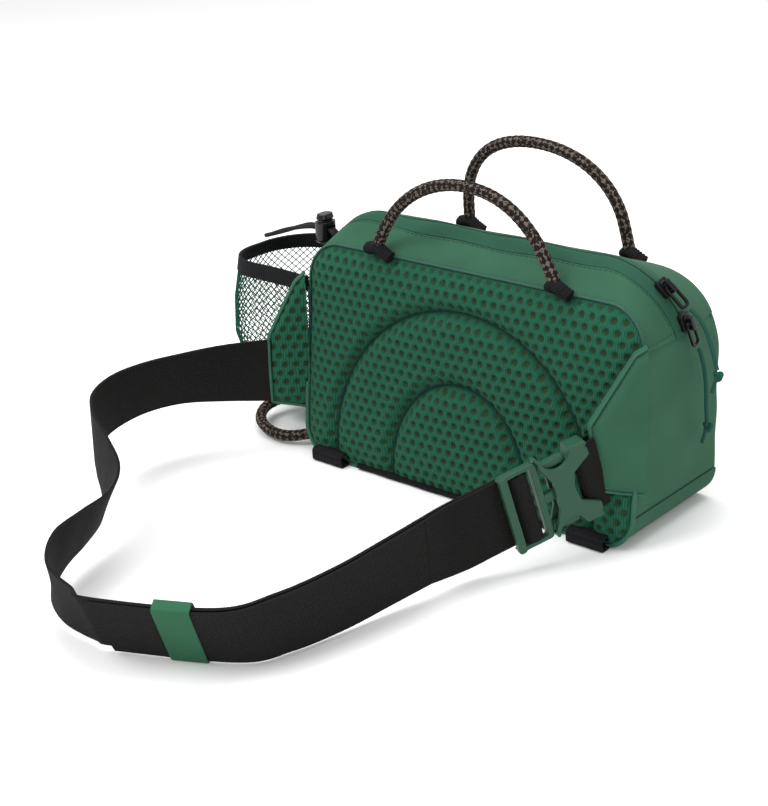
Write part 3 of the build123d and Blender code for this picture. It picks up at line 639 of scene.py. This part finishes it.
def band_patch(name, t_range, v_from, v_to, columns, rows, thickness, edge=0.9):
    """Panel of the band, with its turned-in edges sunk a little into the seams."""
    def rule(u, v):
        t = t_range[0] + (t_range[1] - t_range[0]) * u
        low = v_from(t) if callable(v_from) else v_from
        high = v_to(t) if callable(v_to) else v_to
        place = band(t, low + (high - low) * v)
        steps = np.minimum(np.minimum(u * columns, (1 - u) * columns), np.minimum(v * rows, (1 - v) * rows))
        sink = edge * np.clip(1 - steps / 1.5, 0, 1)
        centre = np.array([0.0, 0.0, 70.0])
        ridge = ridge_line(t)
        inward = centre - ridge
        inward[:, 1] = 0
        inward /= np.linalg.norm(inward, axis=1)[:, None] + 1e-9
        place = place + inward * sink[:, None]
        return place[:, 0], place[:, 1], place[:, 2]

    size = ((t_range[1] - t_range[0]) * 0.7, 0.08)
    piece = lay_sheet(name, columns, rows, rule, inside=(0, 0, 65), size=size)
    thicken(piece, thickness)
    smooth(piece, 50)
    return piece


# %% Base, sides and front
base = band_patch("base_cloth", (-0.15, 0.15), 0.0, 1.0, 90, 26, 1.4, 0.0)
finish_piece(base, shell_cloth, nodes=["base_panel"])
right_side = band_patch("right_side_cloth", (0.15, 0.33), 0.0, 1.0, 48, 40, 1.4)
finish_piece(right_side, shell_cloth, nodes=["side_panel_right"])
left_side = band_patch("left_side_cloth", (0.67, 0.85), 0.0, 1.0, 48, 40, 1.4)
finish_piece(left_side, shell_cloth, nodes=["side_panel_left"])

# %% Top bands, tapes and teeth
def rear_edge(t):
    reach = np.linalg.norm(ridge_line(t) - back_line(t), axis=1)
    return 0.5 - 0.5 * 9.0 / reach


def front_edge(t):
    reach = np.linalg.norm(front_line(t) - ridge_line(t), axis=1)
    return 0.5 + 0.5 * 9.0 / reach


def rear_slit(t):
    return 0.5 - (0.5 - rear_edge(t)) * 0.07


def front_slit(t):
    return 0.5 + (front_edge(t) - 0.5) * 0.07


over_top = (0.33, 0.67)
for patch_name, v_from, v_to, rows, thickness, edge, cloth, slot, cad_name in (
    ("rear_band_cloth", 0.0, rear_edge, 14, 1.4, 0.5, shell_cloth, "shell_fabric", "top_band_rear"),
    ("front_band_cloth", front_edge, 1.0, 22, 1.4, 0.5, shell_cloth, "shell_fabric", "top_band_front"),
    ("rear_tape", rear_edge, rear_slit, 6, 1.0, 0.15, tape_cloth, "zipper_tape", "zipper_tape_rear"),
    ("front_tape", front_slit, front_edge, 6, 1.0, 0.15, tape_cloth, "zipper_tape", "zipper_tape_front"),
):
    patch = band_patch(patch_name, over_top, v_from, v_to, 200, rows, thickness, edge)
    finish_piece(patch, cloth, nodes=[cad_name])


def teeth_rule(u, v):
    t = 0.335 + 0.33 * u
    width = (0.5 - rear_edge(t)) * 0.28
    place = band(t, 0.5 + (2 * v - 1) * width)
    inward = np.array([0.0, 0.0, 75.0]) - ridge_line(t)
    inward /= np.linalg.norm(inward, axis=1)[:, None]
    depth = 0.9 + 0.35 * np.cos(u * 2 * pi * 210)
    place = place + inward * depth[:, None]
    return place[:, 0], place[:, 1], place[:, 2]


teeth = lay_sheet("zipper_teeth", 840, 4, teeth_rule, inside=(0, 0, 65))
thicken(teeth, 1.0)
finish_piece(teeth, coil_black, nodes=["zipper_coil"])
print("band done")

# %% [markdown]
# ## Spacer mesh
# Spacer mesh is a thick open knit. Its holes lie in offset rows, so a rule gives how deep a
# point is in the nearest hole. The sheet is fine enough for the holes to be real dents, and the
# same number is kept as an attribute that darkens them with painted shade.

# %% Mesh pattern
pitch = 6.3
row_step = 5.4


def hole_depth(x, z):
    """1 in the middle of a hole, 0 on the threads."""
    nearest = np.full(x.shape, 99.0)
    for shift in (0, 1):
        dx = (x - shift * pitch / 2 + pitch / 2) % pitch - pitch / 2
        dz = (z - shift * row_step + row_step) % (2 * row_step) - row_step
        reach = np.sqrt(dx**2 + (dz * 0.92) ** 2)
        nearest = np.minimum(nearest, reach)
    soft = np.clip((2.1 - nearest) / 0.9, 0, 1)
    return soft * soft * (3 - 2 * soft)


def keep_holes(piece, depth, name="hole"):
    attribute = piece.data.attributes.new(name, "FLOAT", "POINT")
    attribute.data.foreach_set("value", depth.astype(np.float32))


def arch_distance(x, z, half, top, foot):
    """Distance from a round-topped arch line, in millimetres."""
    over = np.sqrt((x / half) ** 2 + ((z - foot) / (top - foot)) ** 2)
    round_part = np.abs(over - 1) * min(half, top - foot)
    return np.where(z > foot, round_part, np.abs(np.abs(x) - half))


def border_distance(x, z, half, top, foot_radius, top_radius):
    """Distance inside the panel's rounded outline; negative outside it."""
    radius = np.where(z < top / 2, foot_radius, top_radius)
    dx = np.abs(x) - (half - radius)
    dz = np.abs(z - top / 2) - (top / 2 - radius)
    outside = np.sqrt(np.maximum(dx, 0) ** 2 + np.maximum(dz, 0) ** 2)
    return radius - outside - np.minimum(np.maximum(dx, dz), 0)


# %% Back panel
def back_swell(x, z):
    edge = border_distance(x, z, half_width - 1.5, 125.5, 17.0, 20.5)
    large = arch_distance(x, z, 88.0, 104.0, 14.0)
    small = arch_distance(x, z, 46.0, 64.0, 10.0)
    pillow = 6.2 * (1 - np.exp(-np.maximum(edge, 0) / 6.5))
    quilt = (1 - 0.8 * np.exp(-((large / 4.2) ** 2))) * (1 - 0.8 * np.exp(-((small / 4.2) ** 2)))
    thread_line = 0.9 * np.exp(-((large / 0.8) ** 2)) + 0.9 * np.exp(-((small / 0.8) ** 2))
    return pillow * quilt - thread_line, edge, np.minimum(large, small)


def back_rule(u, v):
    x = (2 * u - 1) * (half_width - 1.0)
    z = 1.0 + v * 125.0
    swell, edge, seam = back_swell(x, z)
    shrink = np.minimum(edge, 0)
    towards = np.stack([-np.sign(x), -np.sign(z - 62)], axis=1) * 0.7071
    x = x + towards[:, 0] * -shrink * 1.0
    z = z + towards[:, 1] * -shrink * 1.0
    depth = hole_depth(x, z) * np.clip(seam / 1.6, 0, 1) * np.clip(edge / 2.5, 0, 1)
    y = -41 + 12.5 * z / 127 - swell + 1.5 * depth + np.clip(-edge, 0, 4) * 0.3
    back_rule.depth = depth
    # Weight along the quilting grooves, used only to paint shade there.
    back_rule.seam = np.exp(-((seam / 1.1) ** 2)) * (edge > 2)
    return x, y, z


back = lay_sheet("back_mesh", 316, 178, back_rule, inside=(0, 0, 65))
# The hole depth and the quilting grooves are kept as attributes that darken the mesh as painted shade.
keep_holes(back, back_rule.depth)
keep_holes(back, back_rule.seam, "seam")
smooth(back, 70)
finish_piece(back, mesh_cloth, nodes=["back_spacer_mesh", "back_foam_pad"])


def lining_rule(u, v):
    x = (2 * u - 1) * 104
    z = 8 + v * 112
    return x, -41 + 12.5 * z / 127 + 10.2 + 0 * u, z


liner = lay_sheet("back_liner", 12, 8, lining_rule, inside=(0, -200, 65))
thicken(liner, 0.8)
finish_piece(liner, lining_cloth, nodes=["back_lining"])

# %% Seam cord and quilting thread
def piping_line(name, points, radius, material, around=8):
    """Round piping or seam thread along points in millimetres."""
    piece, line, length = braided_tube(
        name, np.array(points) * MM, radius * MM, around=around, step=0.0015, ridge=0.12, ridges=2,
        pitch=0.0032,
    )
    finish_piece(piece, material)
    return piece


rim_t = np.linspace(0.20, 0.80, 220)
rim = back_line(rim_t)
rim[:, 0] *= 0.993
rim[:, 1] -= 0.5
rim[:, 2] -= 0.4
piping_line("back_seam_cord", rim, 0.85, thread_finish)
low_t = np.linspace(-0.20, 0.20, 160)
low = back_line(low_t)
low[:, 1] -= 0.6
low[:, 2] += 0.6
piping_line("back_foot_piping", low, 1.5, trim_cloth)

# %% [markdown]
# ## Front
# The front panel is a plain cloth face with a flat zipped pocket sewn on it.

# %% Front panel and pocket
def front_rule(u, v):
    x = (2 * u - 1) * (half_width - 0.5)
    z = 0.5 + v * 124.0
    edge = border_distance(x, z, half_width - 0.5, 125.0, 17.5, 37.5)
    shrink = np.minimum(edge, 0)
    x = x - np.sign(x) * -shrink * 0.7071
    z = z - np.sign(z - 62) * -shrink * 0.7071
    return x, 40.2 + 0 * u - 1.2 * np.exp(-np.maximum(edge, 0) / 2.0), z


front = lay_sheet("front_cloth", 110, 62, front_rule, inside=(0, 0, 65))
thicken(front, 1.4)
smooth(front, 50)
finish_piece(front, shell_cloth, nodes=["front_panel"])


def front_pocket_rule(u, v):
    x = (2 * u - 1) * 88.0
    z = 12.0 + v * 84.0
    edge = border_distance(x, z - 12.0, 88.0, 84.0, 16.0, 16.0)
    shrink = np.minimum(edge, 0)
    x = x - np.sign(x) * -shrink * 0.7071
    z = z - np.sign(z - 54) * -shrink * 0.7071
    raised = 1.6 * (1 - np.exp(-np.maximum(edge, 0) / 1.5))
    return x, 41.2 + raised + 0.15 * np.sin(x * 0.1) * np.sin(z * 0.13), z


front_pocket = lay_sheet("front_pocket_cloth", 100, 50, front_pocket_rule, inside=(0, 0, 55))
smooth(front_pocket, 50)
finish_piece(front_pocket, shell_cloth, nodes=["front_pocket_panel"])


def front_zip_rule(u, v):
    x = (2 * u - 1) * 80.0
    z = 96.1 + v * 6.0
    groove = np.exp(-(((z - 99.1) / 0.7) ** 2))
    return x, 41.9 + 0 * u - 0.5 * groove, z


front_zip = lay_sheet("front_zip_tape", 160, 16, front_zip_rule, inside=(0, 0, 65))
smooth(front_zip, 60)
finish_piece(front_zip, tape_cloth, nodes=["front_pocket_zipper"])

# %% [markdown]
# ## Wings
# Each wing is a padded flap. Its two faces are pinched together round the edge, and piping
# covers that edge.

# %% Wing rule
def wing_faces(
    side_name, root, heading, span, foot_line, top_line, outer, inner, outer_slot, inner_slot, nodes
):
    turn = radians(heading)
    along_way = np.array([cos(turn), sin(turn), 0.0])
    away = np.array([sin(turn), -cos(turn), 0.0])
    start = np.array(root)

    def surface(u, v, level, swell, pattern):
        along = -3.0 + (span + 3.0) * u
        low = np.interp(along, *foot_line)
        high = np.interp(along, *top_line)
        reach = np.interp((v - 0.5) * 2, (-1, 1), (span - 6.5 * (outer is not mesh_cloth), span))
        along = -3.0 + (reach + 3.0) * u
        z = low + (high - low) * v
        edge = np.minimum(np.minimum((1 - u) * span, v * (high - low)), (1 - v) * (high - low))
        full = 1 - np.exp(-np.maximum(edge, 0) / 3.2)
        depth = hole_depth(along + 1.3, z) * np.clip(edge / 2.0, 0, 1) if pattern else np.zeros(u.shape)
        away_by = 2.6 + (level - 2.6) * full - (swell * full if level < 2.6 else -swell * full)
        away_by = away_by + (1.3 * depth if level < 2.6 else -1.3 * depth)
        place = start + along[:, None] * along_way + away_by[:, None] * away
        place[:, 2] = z
        surface.depth = depth
        return place[:, 0], place[:, 1], place[:, 2]

    middle = start + along_way * span / 2 + away * 2.6 + np.array([0, 0, 60.0])
    for face_name, level, swell, material, slot, replaced in (
        ("outer", 0.0, 1.4, outer, outer_slot, nodes[0]), ("inner", 5.2, 0.8, inner, inner_slot, nodes[1]),
    ):
        pattern = material is mesh_cloth
        piece = lay_sheet(
            "wing_" + side_name + "_" + face_name, 44, 110,
            lambda u, v: surface(u, v, level, swell, pattern), inside=middle, size=(0.028, 0.07),
        )
        # The kept depth darkens the holes of a mesh face with painted shade.
        keep_holes(piece, surface.depth)
        smooth(piece, 70)
        finish_piece(piece, material, nodes=replaced)


wing_faces(
    "left", (-113.0, -38.0, 0.0), 226.0, 20.0, ((-3, 25), (26, 31)), ((-3, 3, 20), (108, 102, 70)),
    mesh_cloth, shell_cloth, "spacer_mesh", "shell_fabric",
    [["wing_left_mesh", "wing_left_foam"], ["wing_left_shell"]],
)
wing_faces(
    "right", (114.5, -37.5, 0.0), 225.0, 25.5, ((-3, 25), (31, 35)), ((-3, 3, 25), (110, 106, 70)),
    shell_cloth, mesh_cloth, "shell_fabric", "spacer_mesh",
    [["wing_right_shell", "wing_right_foam"], ["wing_right_mesh"]],
)


def wing_point(root, heading, along, depth, height):
    turn = radians(heading)
    return (
        root[0] + cos(turn) * along + sin(turn) * depth,
        root[1] + sin(turn) * along - cos(turn) * depth,
        height,
    )


for wing_name, root, heading, route in (
    ("left", (-113.0, -38.0), 226.0, [
        (-3, 108), (3, 102.5), (12, 86), (20, 70.5), (20.4, 50), (20.3, 30.5), (10, 28.6), (-3, 26),
    ]),
    ("right", (114.5, -37.5), 225.0, [
        (-3, 110), (3, 106.5), (14, 89), (25.5, 70.5), (22.2, 52), (19, 35.5), (8, 33), (-3, 31.5),
    ]),
):
    for line_name, lift in (("near", 1.6), ("far", 3.9)):
        corners = np.array([wing_point(root, heading, a, lift, h) for a, h in route])
        path, _ = even_points(corners, 1.5)
        piping_line("wing_" + wing_name + "_piping_" + line_name, path, 1.0, trim_cloth)

# %% [markdown]
# ## Webbing
# A strap is a long sheet that keeps its width. Its rule needs only the middle line and the way
# its upper edge leans, both carried smoothly between the places where the belt turns.

# %% Strap rule
def smooth_rows(rows, count):
    """Rows of numbers carried smoothly through their stations, evenly along the first three."""
    rows = np.array(rows, float)
    steps = []
    for i in range(len(rows) - 1):
        p0, p1 = rows[max(i - 1, 0)], rows[i]
        p2, p3 = rows[i + 1], rows[min(i + 2, len(rows) - 1)]
        for k in range(24):
            s = k / 24
            steps.append(
                0.5 * (
                    2 * p1 + (p2 - p0) * s + (2 * p0 - 5 * p1 + 4 * p2 - p3) * s**2
                    + (3 * p1 - p0 - 3 * p2 + p3) * s**3
                )
            )
    steps.append(rows[-1])
    steps = np.array(steps)
    runs = np.linalg.norm(np.diff(steps[:, :3], axis=0), axis=1)
    along = np.concatenate([[0], np.cumsum(runs)])
    where = np.linspace(0, along[-1], count)
    return np.stack([np.interp(where, along, steps[:, k]) for k in range(rows.shape[1])], axis=1), along[-1]


def strap(
    name, rows, width, thickness, shift=0.0, material=black_webbing, body="bag",
    nodes=(), bend=None,
):
    """Flat strap through rows of (x, y, z, lean x, lean y), in millimetres."""
    length = smooth_rows(rows, 40)[1]
    count = max(int(length / 1.6), 16)
    path, length = smooth_rows(rows, count + 1)
    middle = path[:, :3]
    lean = path[:, 3:5]
    rise = np.sqrt(np.maximum(width**2 - (lean**2).sum(axis=1), 1))
    edge = np.concatenate([lean, rise[:, None]], axis=1)
    if path.shape[1] > 5:
        edge = path[:, 3:6]
    edge /= np.linalg.norm(edge, axis=1)[:, None]
    along = np.gradient(middle, axis=0)
    face = np.cross(edge, along)
    face /= np.linalg.norm(face, axis=1)[:, None]

    def rule(u, v):
        i = np.clip(np.rint(u * count).astype(int), 0, count)
        across = (v - 0.5) * width
        place = middle[i] + edge[i] * across[:, None] + face[i] * shift
        return place[:, 0], place[:, 1], place[:, 2]

    piece = lay_sheet(name, count, 14, rule, size=(length * MM, width * MM))
    thicken(piece, thickness, 0.0)
    choose(piece)
    bpy.ops.object.mode_set(mode="EDIT")
    bpy.ops.mesh.select_all(action="SELECT")
    bpy.ops.mesh.normals_make_consistent(inside=False)
    bpy.ops.object.mode_set(mode="OBJECT")
    smooth(piece, 45)
    finish_piece(piece, material, None if bend else body, nodes)
    if bend:
        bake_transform(piece)
    print(name, "length", round(length, 1))
    return piece


# %% Belt
webbing_width = 38.0
webbing = 1.5
belt_rows = [
    (-127.5, -49.4, 50.0, 1, -1), (-129.5, -51.4, 50.0, 1, -1), (-148, -70, 50.0, 7, -4),
    (-162, -90, 50.0, 12, -7), (-171, -112, 49.0, 12, -6), (-172, -135, 47.0, 9, -3),
    (-163, -155, 44.5, 6, -3), (-146, -169, 41.5, 6, -3),
    (-126, -180, 37.0, 9, 0), (-108, -193, 32.0, 15, 4), (-97, -211, 28.5, 18, 6), (-90, -233, 27.0, 15, 4),
    (-80, -254, 25.0, 8, 0), (-61, -268, 22.0, 4, -9), (-36, -272, 20.8, 4, -14), (-24, -271.5, 20.4, 4, -17),
    (30, -244.5, 20.4, 4, -17), (43, -221, 20.8, 6, -13), (50, -191, 22.0, 6, -9), (55, -163, 25.0, 5, -6),
    (59.5, -141, 28.0, 3, -7),
]
strap("belt_webbing_strap", belt_rows, webbing_width, webbing, nodes=["belt_webbing"])
tail_rows = belt_rows[15:]
strap("belt_tail_strap", tail_rows, webbing_width, webbing, shift=-2.5, nodes=["belt_tail"])

# %% Buckle frame of reference
buckle_place = np.array([76.0, -97.0, 33.0])
heading, climb = radians(63.5), radians(15.2)
buckle_along = np.array([cos(heading) * cos(climb), sin(heading) * cos(climb), sin(climb)])
buckle_face = np.array([sin(heading), -cos(heading), 0.0])
buckle_up = np.cross(buckle_face, buckle_along)


def buckle_point(along, out, up=0.0):
    """Point in millimetres from the buckle's own directions."""
    return buckle_place + buckle_along * along + buckle_face * out + buckle_up * up


def buckle_row(along, out):
    return (*buckle_point(along, out), *(buckle_up * webbing_width))


# %% Belt into the buckle
def full_row(row):
    rise = sqrt(webbing_width**2 - row[3] ** 2 - row[4] ** 2)
    return (*row, rise)


turn_lower = -4.95
turn_upper = -2.95
belt_end = (59.5, -141.0, 28.0)
frame_end = tuple(buckle_point(-3.0, turn_lower))
run_rows = [full_row(belt_rows[-2]), full_row(belt_rows[-1])]
near_rows = [buckle_row(-26, -5.2), buckle_row(-12, -5.0), buckle_row(-3, turn_lower)]
strap(
    "belt_run_under", [full_row(belt_rows[-1])] + near_rows, webbing_width, webbing,
    bend=(belt_end, frame_end),
)
step = np.array(run_rows[1][:3]) - np.array(run_rows[0][:3])
lean_edge = np.array(run_rows[1][3:])
side_step = np.cross(lean_edge, step)
side_step /= np.linalg.norm(side_step)
tail_end = np.array(run_rows[1][:3]) - 2.5 * side_step
over_rows = [
    (*tail_end, *run_rows[1][3:]), buckle_row(-26, -2.9), buckle_row(-12, -2.95),
    buckle_row(-3, turn_upper),
]
strap("belt_run_over", over_rows, webbing_width, webbing, bend=(belt_end, frame_end))

turn_rows = [
    buckle_row(-3, turn_lower), buckle_row(5, turn_lower), buckle_row(11, turn_lower), buckle_row(14, -3.6),
    buckle_row(15.0, -0.6), buckle_row(13.9, 2.0), buckle_row(11.4, 2.75), buckle_row(8.2, 1.6),
    buckle_row(5.4, -2.1), buckle_row(2.0, turn_upper), buckle_row(-3, turn_upper),
]
strap("belt_turn_strap", turn_rows, webbing_width, webbing, body="buckle_frame", nodes=["belt_buckle_turn"])
stub_rows = [
    buckle_row(54, -4.4), buckle_row(50, -4.4), buckle_row(46, -4.4), buckle_row(42.8, -2.9),
    buckle_row(42.3, -1.2),
    buckle_row(43.0, 0.5), buckle_row(45.5, 1.45), buckle_row(50, 1.3), buckle_row(54.5, 0.6),
]
strap("belt_stub_strap", stub_rows, webbing_width, webbing, nodes=["belt_stub"])

# %% Keeper and lash loops
keeper_from = np.array([-24.0, -271.5, 20.4])
keeper_to = np.array([30.0, -244.5, 20.4])
keeper_way = (keeper_to - keeper_from) / np.linalg.norm(keeper_to - keeper_from)
keeper_edge = np.array(full_row(belt_rows[15])[3:])
keeper_edge /= np.linalg.norm(keeper_edge)
keeper_face = np.cross(keeper_edge, keeper_way)
keeper_face /= np.linalg.norm(keeper_face)
keeper_edge = np.cross(keeper_way, keeper_face)
keeper_middle = (keeper_from + keeper_to) / 2 - keeper_face * 1.25 + keeper_way * 9.0


def loop_sheet(
    name, middle, along, tall, deep, length, half_tall, half_deep, corner, thickness, material,
    body, nodes,
):
    """Band of cloth bent into a flat loop round its own axis."""
    def rule(u, v):
        turn = u * 2 * pi
        c, s = np.cos(turn), np.sin(turn)
        power = 2 / corner
        a = np.sign(c) * np.abs(c) ** power * half_tall
        b = np.sign(s) * np.abs(s) ** power * half_deep
        place = (
            np.array(middle) + a[:, None] * np.array(tall) + b[:, None] * np.array(deep)
            + ((v - 0.5) * length)[:, None] * np.array(along)
        )
        return place[:, 0], place[:, 1], place[:, 2]

    piece = lay_sheet(name, 96, 10, rule, inside=middle, size=(4 * half_tall * MM, length * MM))
    choose(piece)
    bpy.ops.object.mode_set(mode="EDIT")
    bpy.ops.mesh.select_all(action="SELECT")
    bpy.ops.mesh.remove_doubles(threshold=0.00001)
    bpy.ops.object.mode_set(mode="OBJECT")
    thicken(piece, thickness, -1.0)
    smooth(piece, 50)
    return finish_piece(piece, material, body, nodes)


loop_sheet(
    "keeper_band", keeper_middle, keeper_way, keeper_edge, keeper_face, 18.0, 20.6, 3.6, 9.0, 1.1,
    keeper_cloth, "belt_keeper", ["belt_keeper"],
)
for lash_name, lash_x in (("lash_loop_left", -89.0), ("lash_loop_right", 89.0)):
    loop_sheet(
        lash_name + "_band", (lash_x, -45.6, 4.25), (1, 0, 0), (0, 1, 0), (0, 0, 1), 22.0, 4.5,
        4.15, 4.0, 1.2, black_binding, "bag", [lash_name],
    )

# %% [markdown]
# ## Bottle pocket
# The pocket is an open net between a cloth floor and a bound rim. A grid turned by half a square
# is a net of diamonds, and a Wireframe modifier gives its cords their thickness.

# %% Pocket rule
pocket_levels = np.array([17.0, 36.0, 56.0, 78.0, 97.0, 105.0])
pocket_reach = np.array([56.0, 73.0, 81.0, 79.0, 74.0, 72.5])
pocket_back = np.array([-22.0, -29.5, -33.0, -33.4, -33.4, -33.0])
pocket_front = np.array([26.0, 35.0, 38.0, 37.5, 36.0, 35.5])
pocket_corner = np.array([18.0, 25.0, 30.0, 30.0, 30.0, 30.0])


def pocket_wall(u, z, inset=0.0):
    """Point on the pocket's wall: u runs from its back seam round to its front seam."""
    reach = np.interp(z, pocket_levels, pocket_reach) - inset
    low = np.interp(z, pocket_levels, pocket_back) + inset
    high = np.interp(z, pocket_levels, pocket_front) - inset
    corner = np.interp(z, pocket_levels, pocket_corner) - inset
    straight = reach - corner
    quarter = corner * pi / 2
    outer = high - low - 2 * corner
    total = 2 * straight + 2 * quarter + outer
    s = u * total
    first = np.clip(s, 0, straight)
    turn = np.clip((s - straight) / quarter, 0, 1) * pi / 2
    second = np.clip(s - straight - quarter, 0, outer)
    turn_two = np.clip((s - straight - quarter - outer) / quarter, 0, 1) * pi / 2
    third = np.clip(s - straight - 2 * quarter - outer, 0, straight)
    x = -half_width - first - corner * np.sin(turn) + corner * (1 - np.cos(turn_two)) + third
    y = low + corner * (1 - np.cos(turn)) + second + corner * np.sin(turn_two)
    return x, y


def net_rule(u, v):
    z = 17.0 + v * 82.0
    x, y = pocket_wall(u, z, 0.6)
    return x, y, z


net = lay_sheet("pocket_net", 84, 36, net_rule, inside=(-140, 0, 60))
choose(net)
bpy.ops.object.mode_set(mode="EDIT")
bpy.ops.mesh.select_all(action="SELECT")
bpy.ops.mesh.unsubdivide(iterations=1)
bpy.ops.object.mode_set(mode="OBJECT")
print("net diamonds", len(net.data.polygons))
apply_modifier(
    net, "WIREFRAME", thickness=0.85 * MM, use_replace=True, use_even_offset=False, use_boundary=True
)
smooth(net, 80)
finish_piece(net, net_cord, nodes=["bottle_pocket_net"])


def rim_rule(u, v):
    z = 96.5 + v * 8.5
    x, y = pocket_wall(u, z, -0.4)
    return x, y, z + 0.8 * np.sin(u * pi * 3) * v


rim_band = lay_sheet("pocket_rim", 150, 8, rim_rule, inside=(-140, 0, 101), size=(0.2, 0.0085))
thicken(rim_band, 1.8)
smooth(rim_band, 50)
finish_piece(rim_band, black_binding, nodes=["bottle_pocket_binding"])


def floor_rule(u, v):
    z = 0 * u + 17.0
    x, y = pocket_wall(u, z, 0.4)
    return (x + 130) * v - 130, (y - 2) * v + 2, z - 0.8


pocket_floor = lay_sheet("pocket_floor", 80, 10, floor_rule, inside=(-140, 0, 60))
smooth(pocket_floor, 50)
finish_piece(pocket_floor, shell_cloth, nodes=["bottle_pocket_floor"])

# %% Base piping
base_points = [(x, -43.2, 2.2) for x in np.linspace(-70, 70, 60)]
base_trim = piping_line("base_trim", base_points, 2.05, black_binding, 12)
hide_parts("base_piping")

# %% [markdown]
# ## Moulded pieces
# A moulded buckle has no sharp edge. Each CAD piece is copied, remeshed in very small cubes and
# smoothed, which rounds its edges by about half a millimetre and leaves its size.

# %% Soften a CAD piece
def soften(node_name, voxel, passes, material, body):
    source = bpy.data.objects[node_name]
    piece = bpy.data.objects.new(node_name + "_soft", source.data.copy())
    bpy.context.collection.objects.link(piece)
    choose(piece)
    bpy.ops.object.mode_set(mode="EDIT")
    bpy.ops.mesh.select_all(action="SELECT")
    bpy.ops.mesh.remove_doubles(threshold=0.000001)
    bpy.ops.object.mode_set(mode="OBJECT")
    apply_modifier(piece, "REMESH", mode="VOXEL", voxel_size=voxel * MM, adaptivity=0.0)
    apply_modifier(piece, "SMOOTH", factor=0.5, iterations=passes)
    smooth(piece, 60)
    return finish_piece(piece, material, body, [node_name])


soften("buckle_socket", 0.30, 6, buckle_green, "bag")
soften("buckle_frame", 0.30, 6, buckle_green, "buckle_frame")
soften("buckle_arm_upper", 0.30, 5, buckle_green, "buckle_arm_upper")
soften("buckle_arm_lower", 0.30, 5, buckle_green, "buckle_arm_lower")
soften("cord_lock_barrel", 0.25, 5, gloss_black, "bag")
soften("cord_lock_plunger", 0.25, 5, gloss_black, "cord_lock_plunger")
for slider_name in ("upper_slider", "lower_slider", "front_slider"):
    soften(slider_name, 0.22, 4, black_metal, slider_name)
for pull_name in ("upper_pull", "lower_pull", "front_pull"):
    soften(pull_name + "_loop", 0.2, 5, black_metal, pull_name)

for material_slot in bpy.data.objects["cord_lock_spring"].material_slots:
    material_slot.material = bright_steel

# %% [markdown]
# ## Stitching
# A row of stitches is one short thread, modelled once and copied along the seam.

# %% Stitch rows
def stitch_row(name, points, outward, step=3.2, length=2.1, thick=0.45):
    """Stitches along points in millimetres, standing just out of the cloth."""
    line, _ = even_points(np.array(points), step)
    tangents = np.gradient(line, axis=0)
    tangents /= np.linalg.norm(tangents, axis=1)[:, None]
    made = []
    for place, tangent in zip(line, tangents):
        out = place - np.array(outward)
        out /= np.linalg.norm(out)
        side = np.cross(out, tangent)
        turn = Matrix((tangent, side, out)).transposed().to_4x4()
        deselect()
        bpy.ops.mesh.primitive_cube_add(size=1)
        thread = bpy.context.object
        thread.data.transform(
            Matrix.Translation(Vector(place) * MM) @ turn
            @ Matrix.Diagonal((length * MM, thick * MM, thick * MM, 1))
        )
        made.append(thread)
    deselect()
    for thread in made:
        thread.select_set(True)
    bpy.context.view_layer.objects.active = made[0]
    bpy.ops.object.join()
    made[0].name = name
    return finish_piece(made[0], thread_finish)


def behind_zip(offset):
    t = np.linspace(0.345, 0.655, 300)
    v = rear_edge(t) * offset
    return band(t, v)


stitch_row("rear_topstitch", behind_zip(0.93), (0, 0, 60))
right_seam = band(np.full(60, 0.336), np.linspace(0.05, 0.42, 60))
stitch_row("right_seam_stitch", right_seam, (0, 0, 60))

# %% [markdown]
# ## Floor and light
# A plain pale floor and large soft lights, as in a product studio.

# %% Floor
bpy.ops.object.select_all(action="DESELECT")
bpy.ops.mesh.primitive_plane_add(size=12, location=(0, 0, 0))
floor = bpy.context.object
floor.name = "studio_floor"
floor_paint = new_material("floor_paint", (0.90, 0.90, 0.90), 0.9, specular=0.1)
paint(floor, floor_paint)

# %% Lights
def soft_light(name, place, aim, size, power):
    deselect()
    bpy.ops.object.light_add(type="AREA", location=place)
    light = bpy.context.object
    light.name = name
    light.data.size = size
    light.data.energy = power
    light.rotation_euler = (Vector(aim) - Vector(place)).to_track_quat("-Z", "Y").to_euler()


soft_light("key", (-0.5, -1.1, 1.5), (0, -0.05, 0.05), 1.0, 22)
soft_light("fill", (1.6, -0.8, 0.9), (0, 0, 0.05), 1.2, 7)
soft_light("top", (0.0, 0.3, 1.9), (0, 0, 0.0), 1.4, 26)
world = bpy.data.worlds.new("studio")
world.use_nodes = True
world.node_tree.nodes["Background"].inputs["Color"].default_value = (1, 1, 1, 1)
world.node_tree.nodes["Background"].inputs["Strength"].default_value = 0.72
bpy.context.scene.world = world
bpy.context.scene.view_settings.view_transform = "Standard"
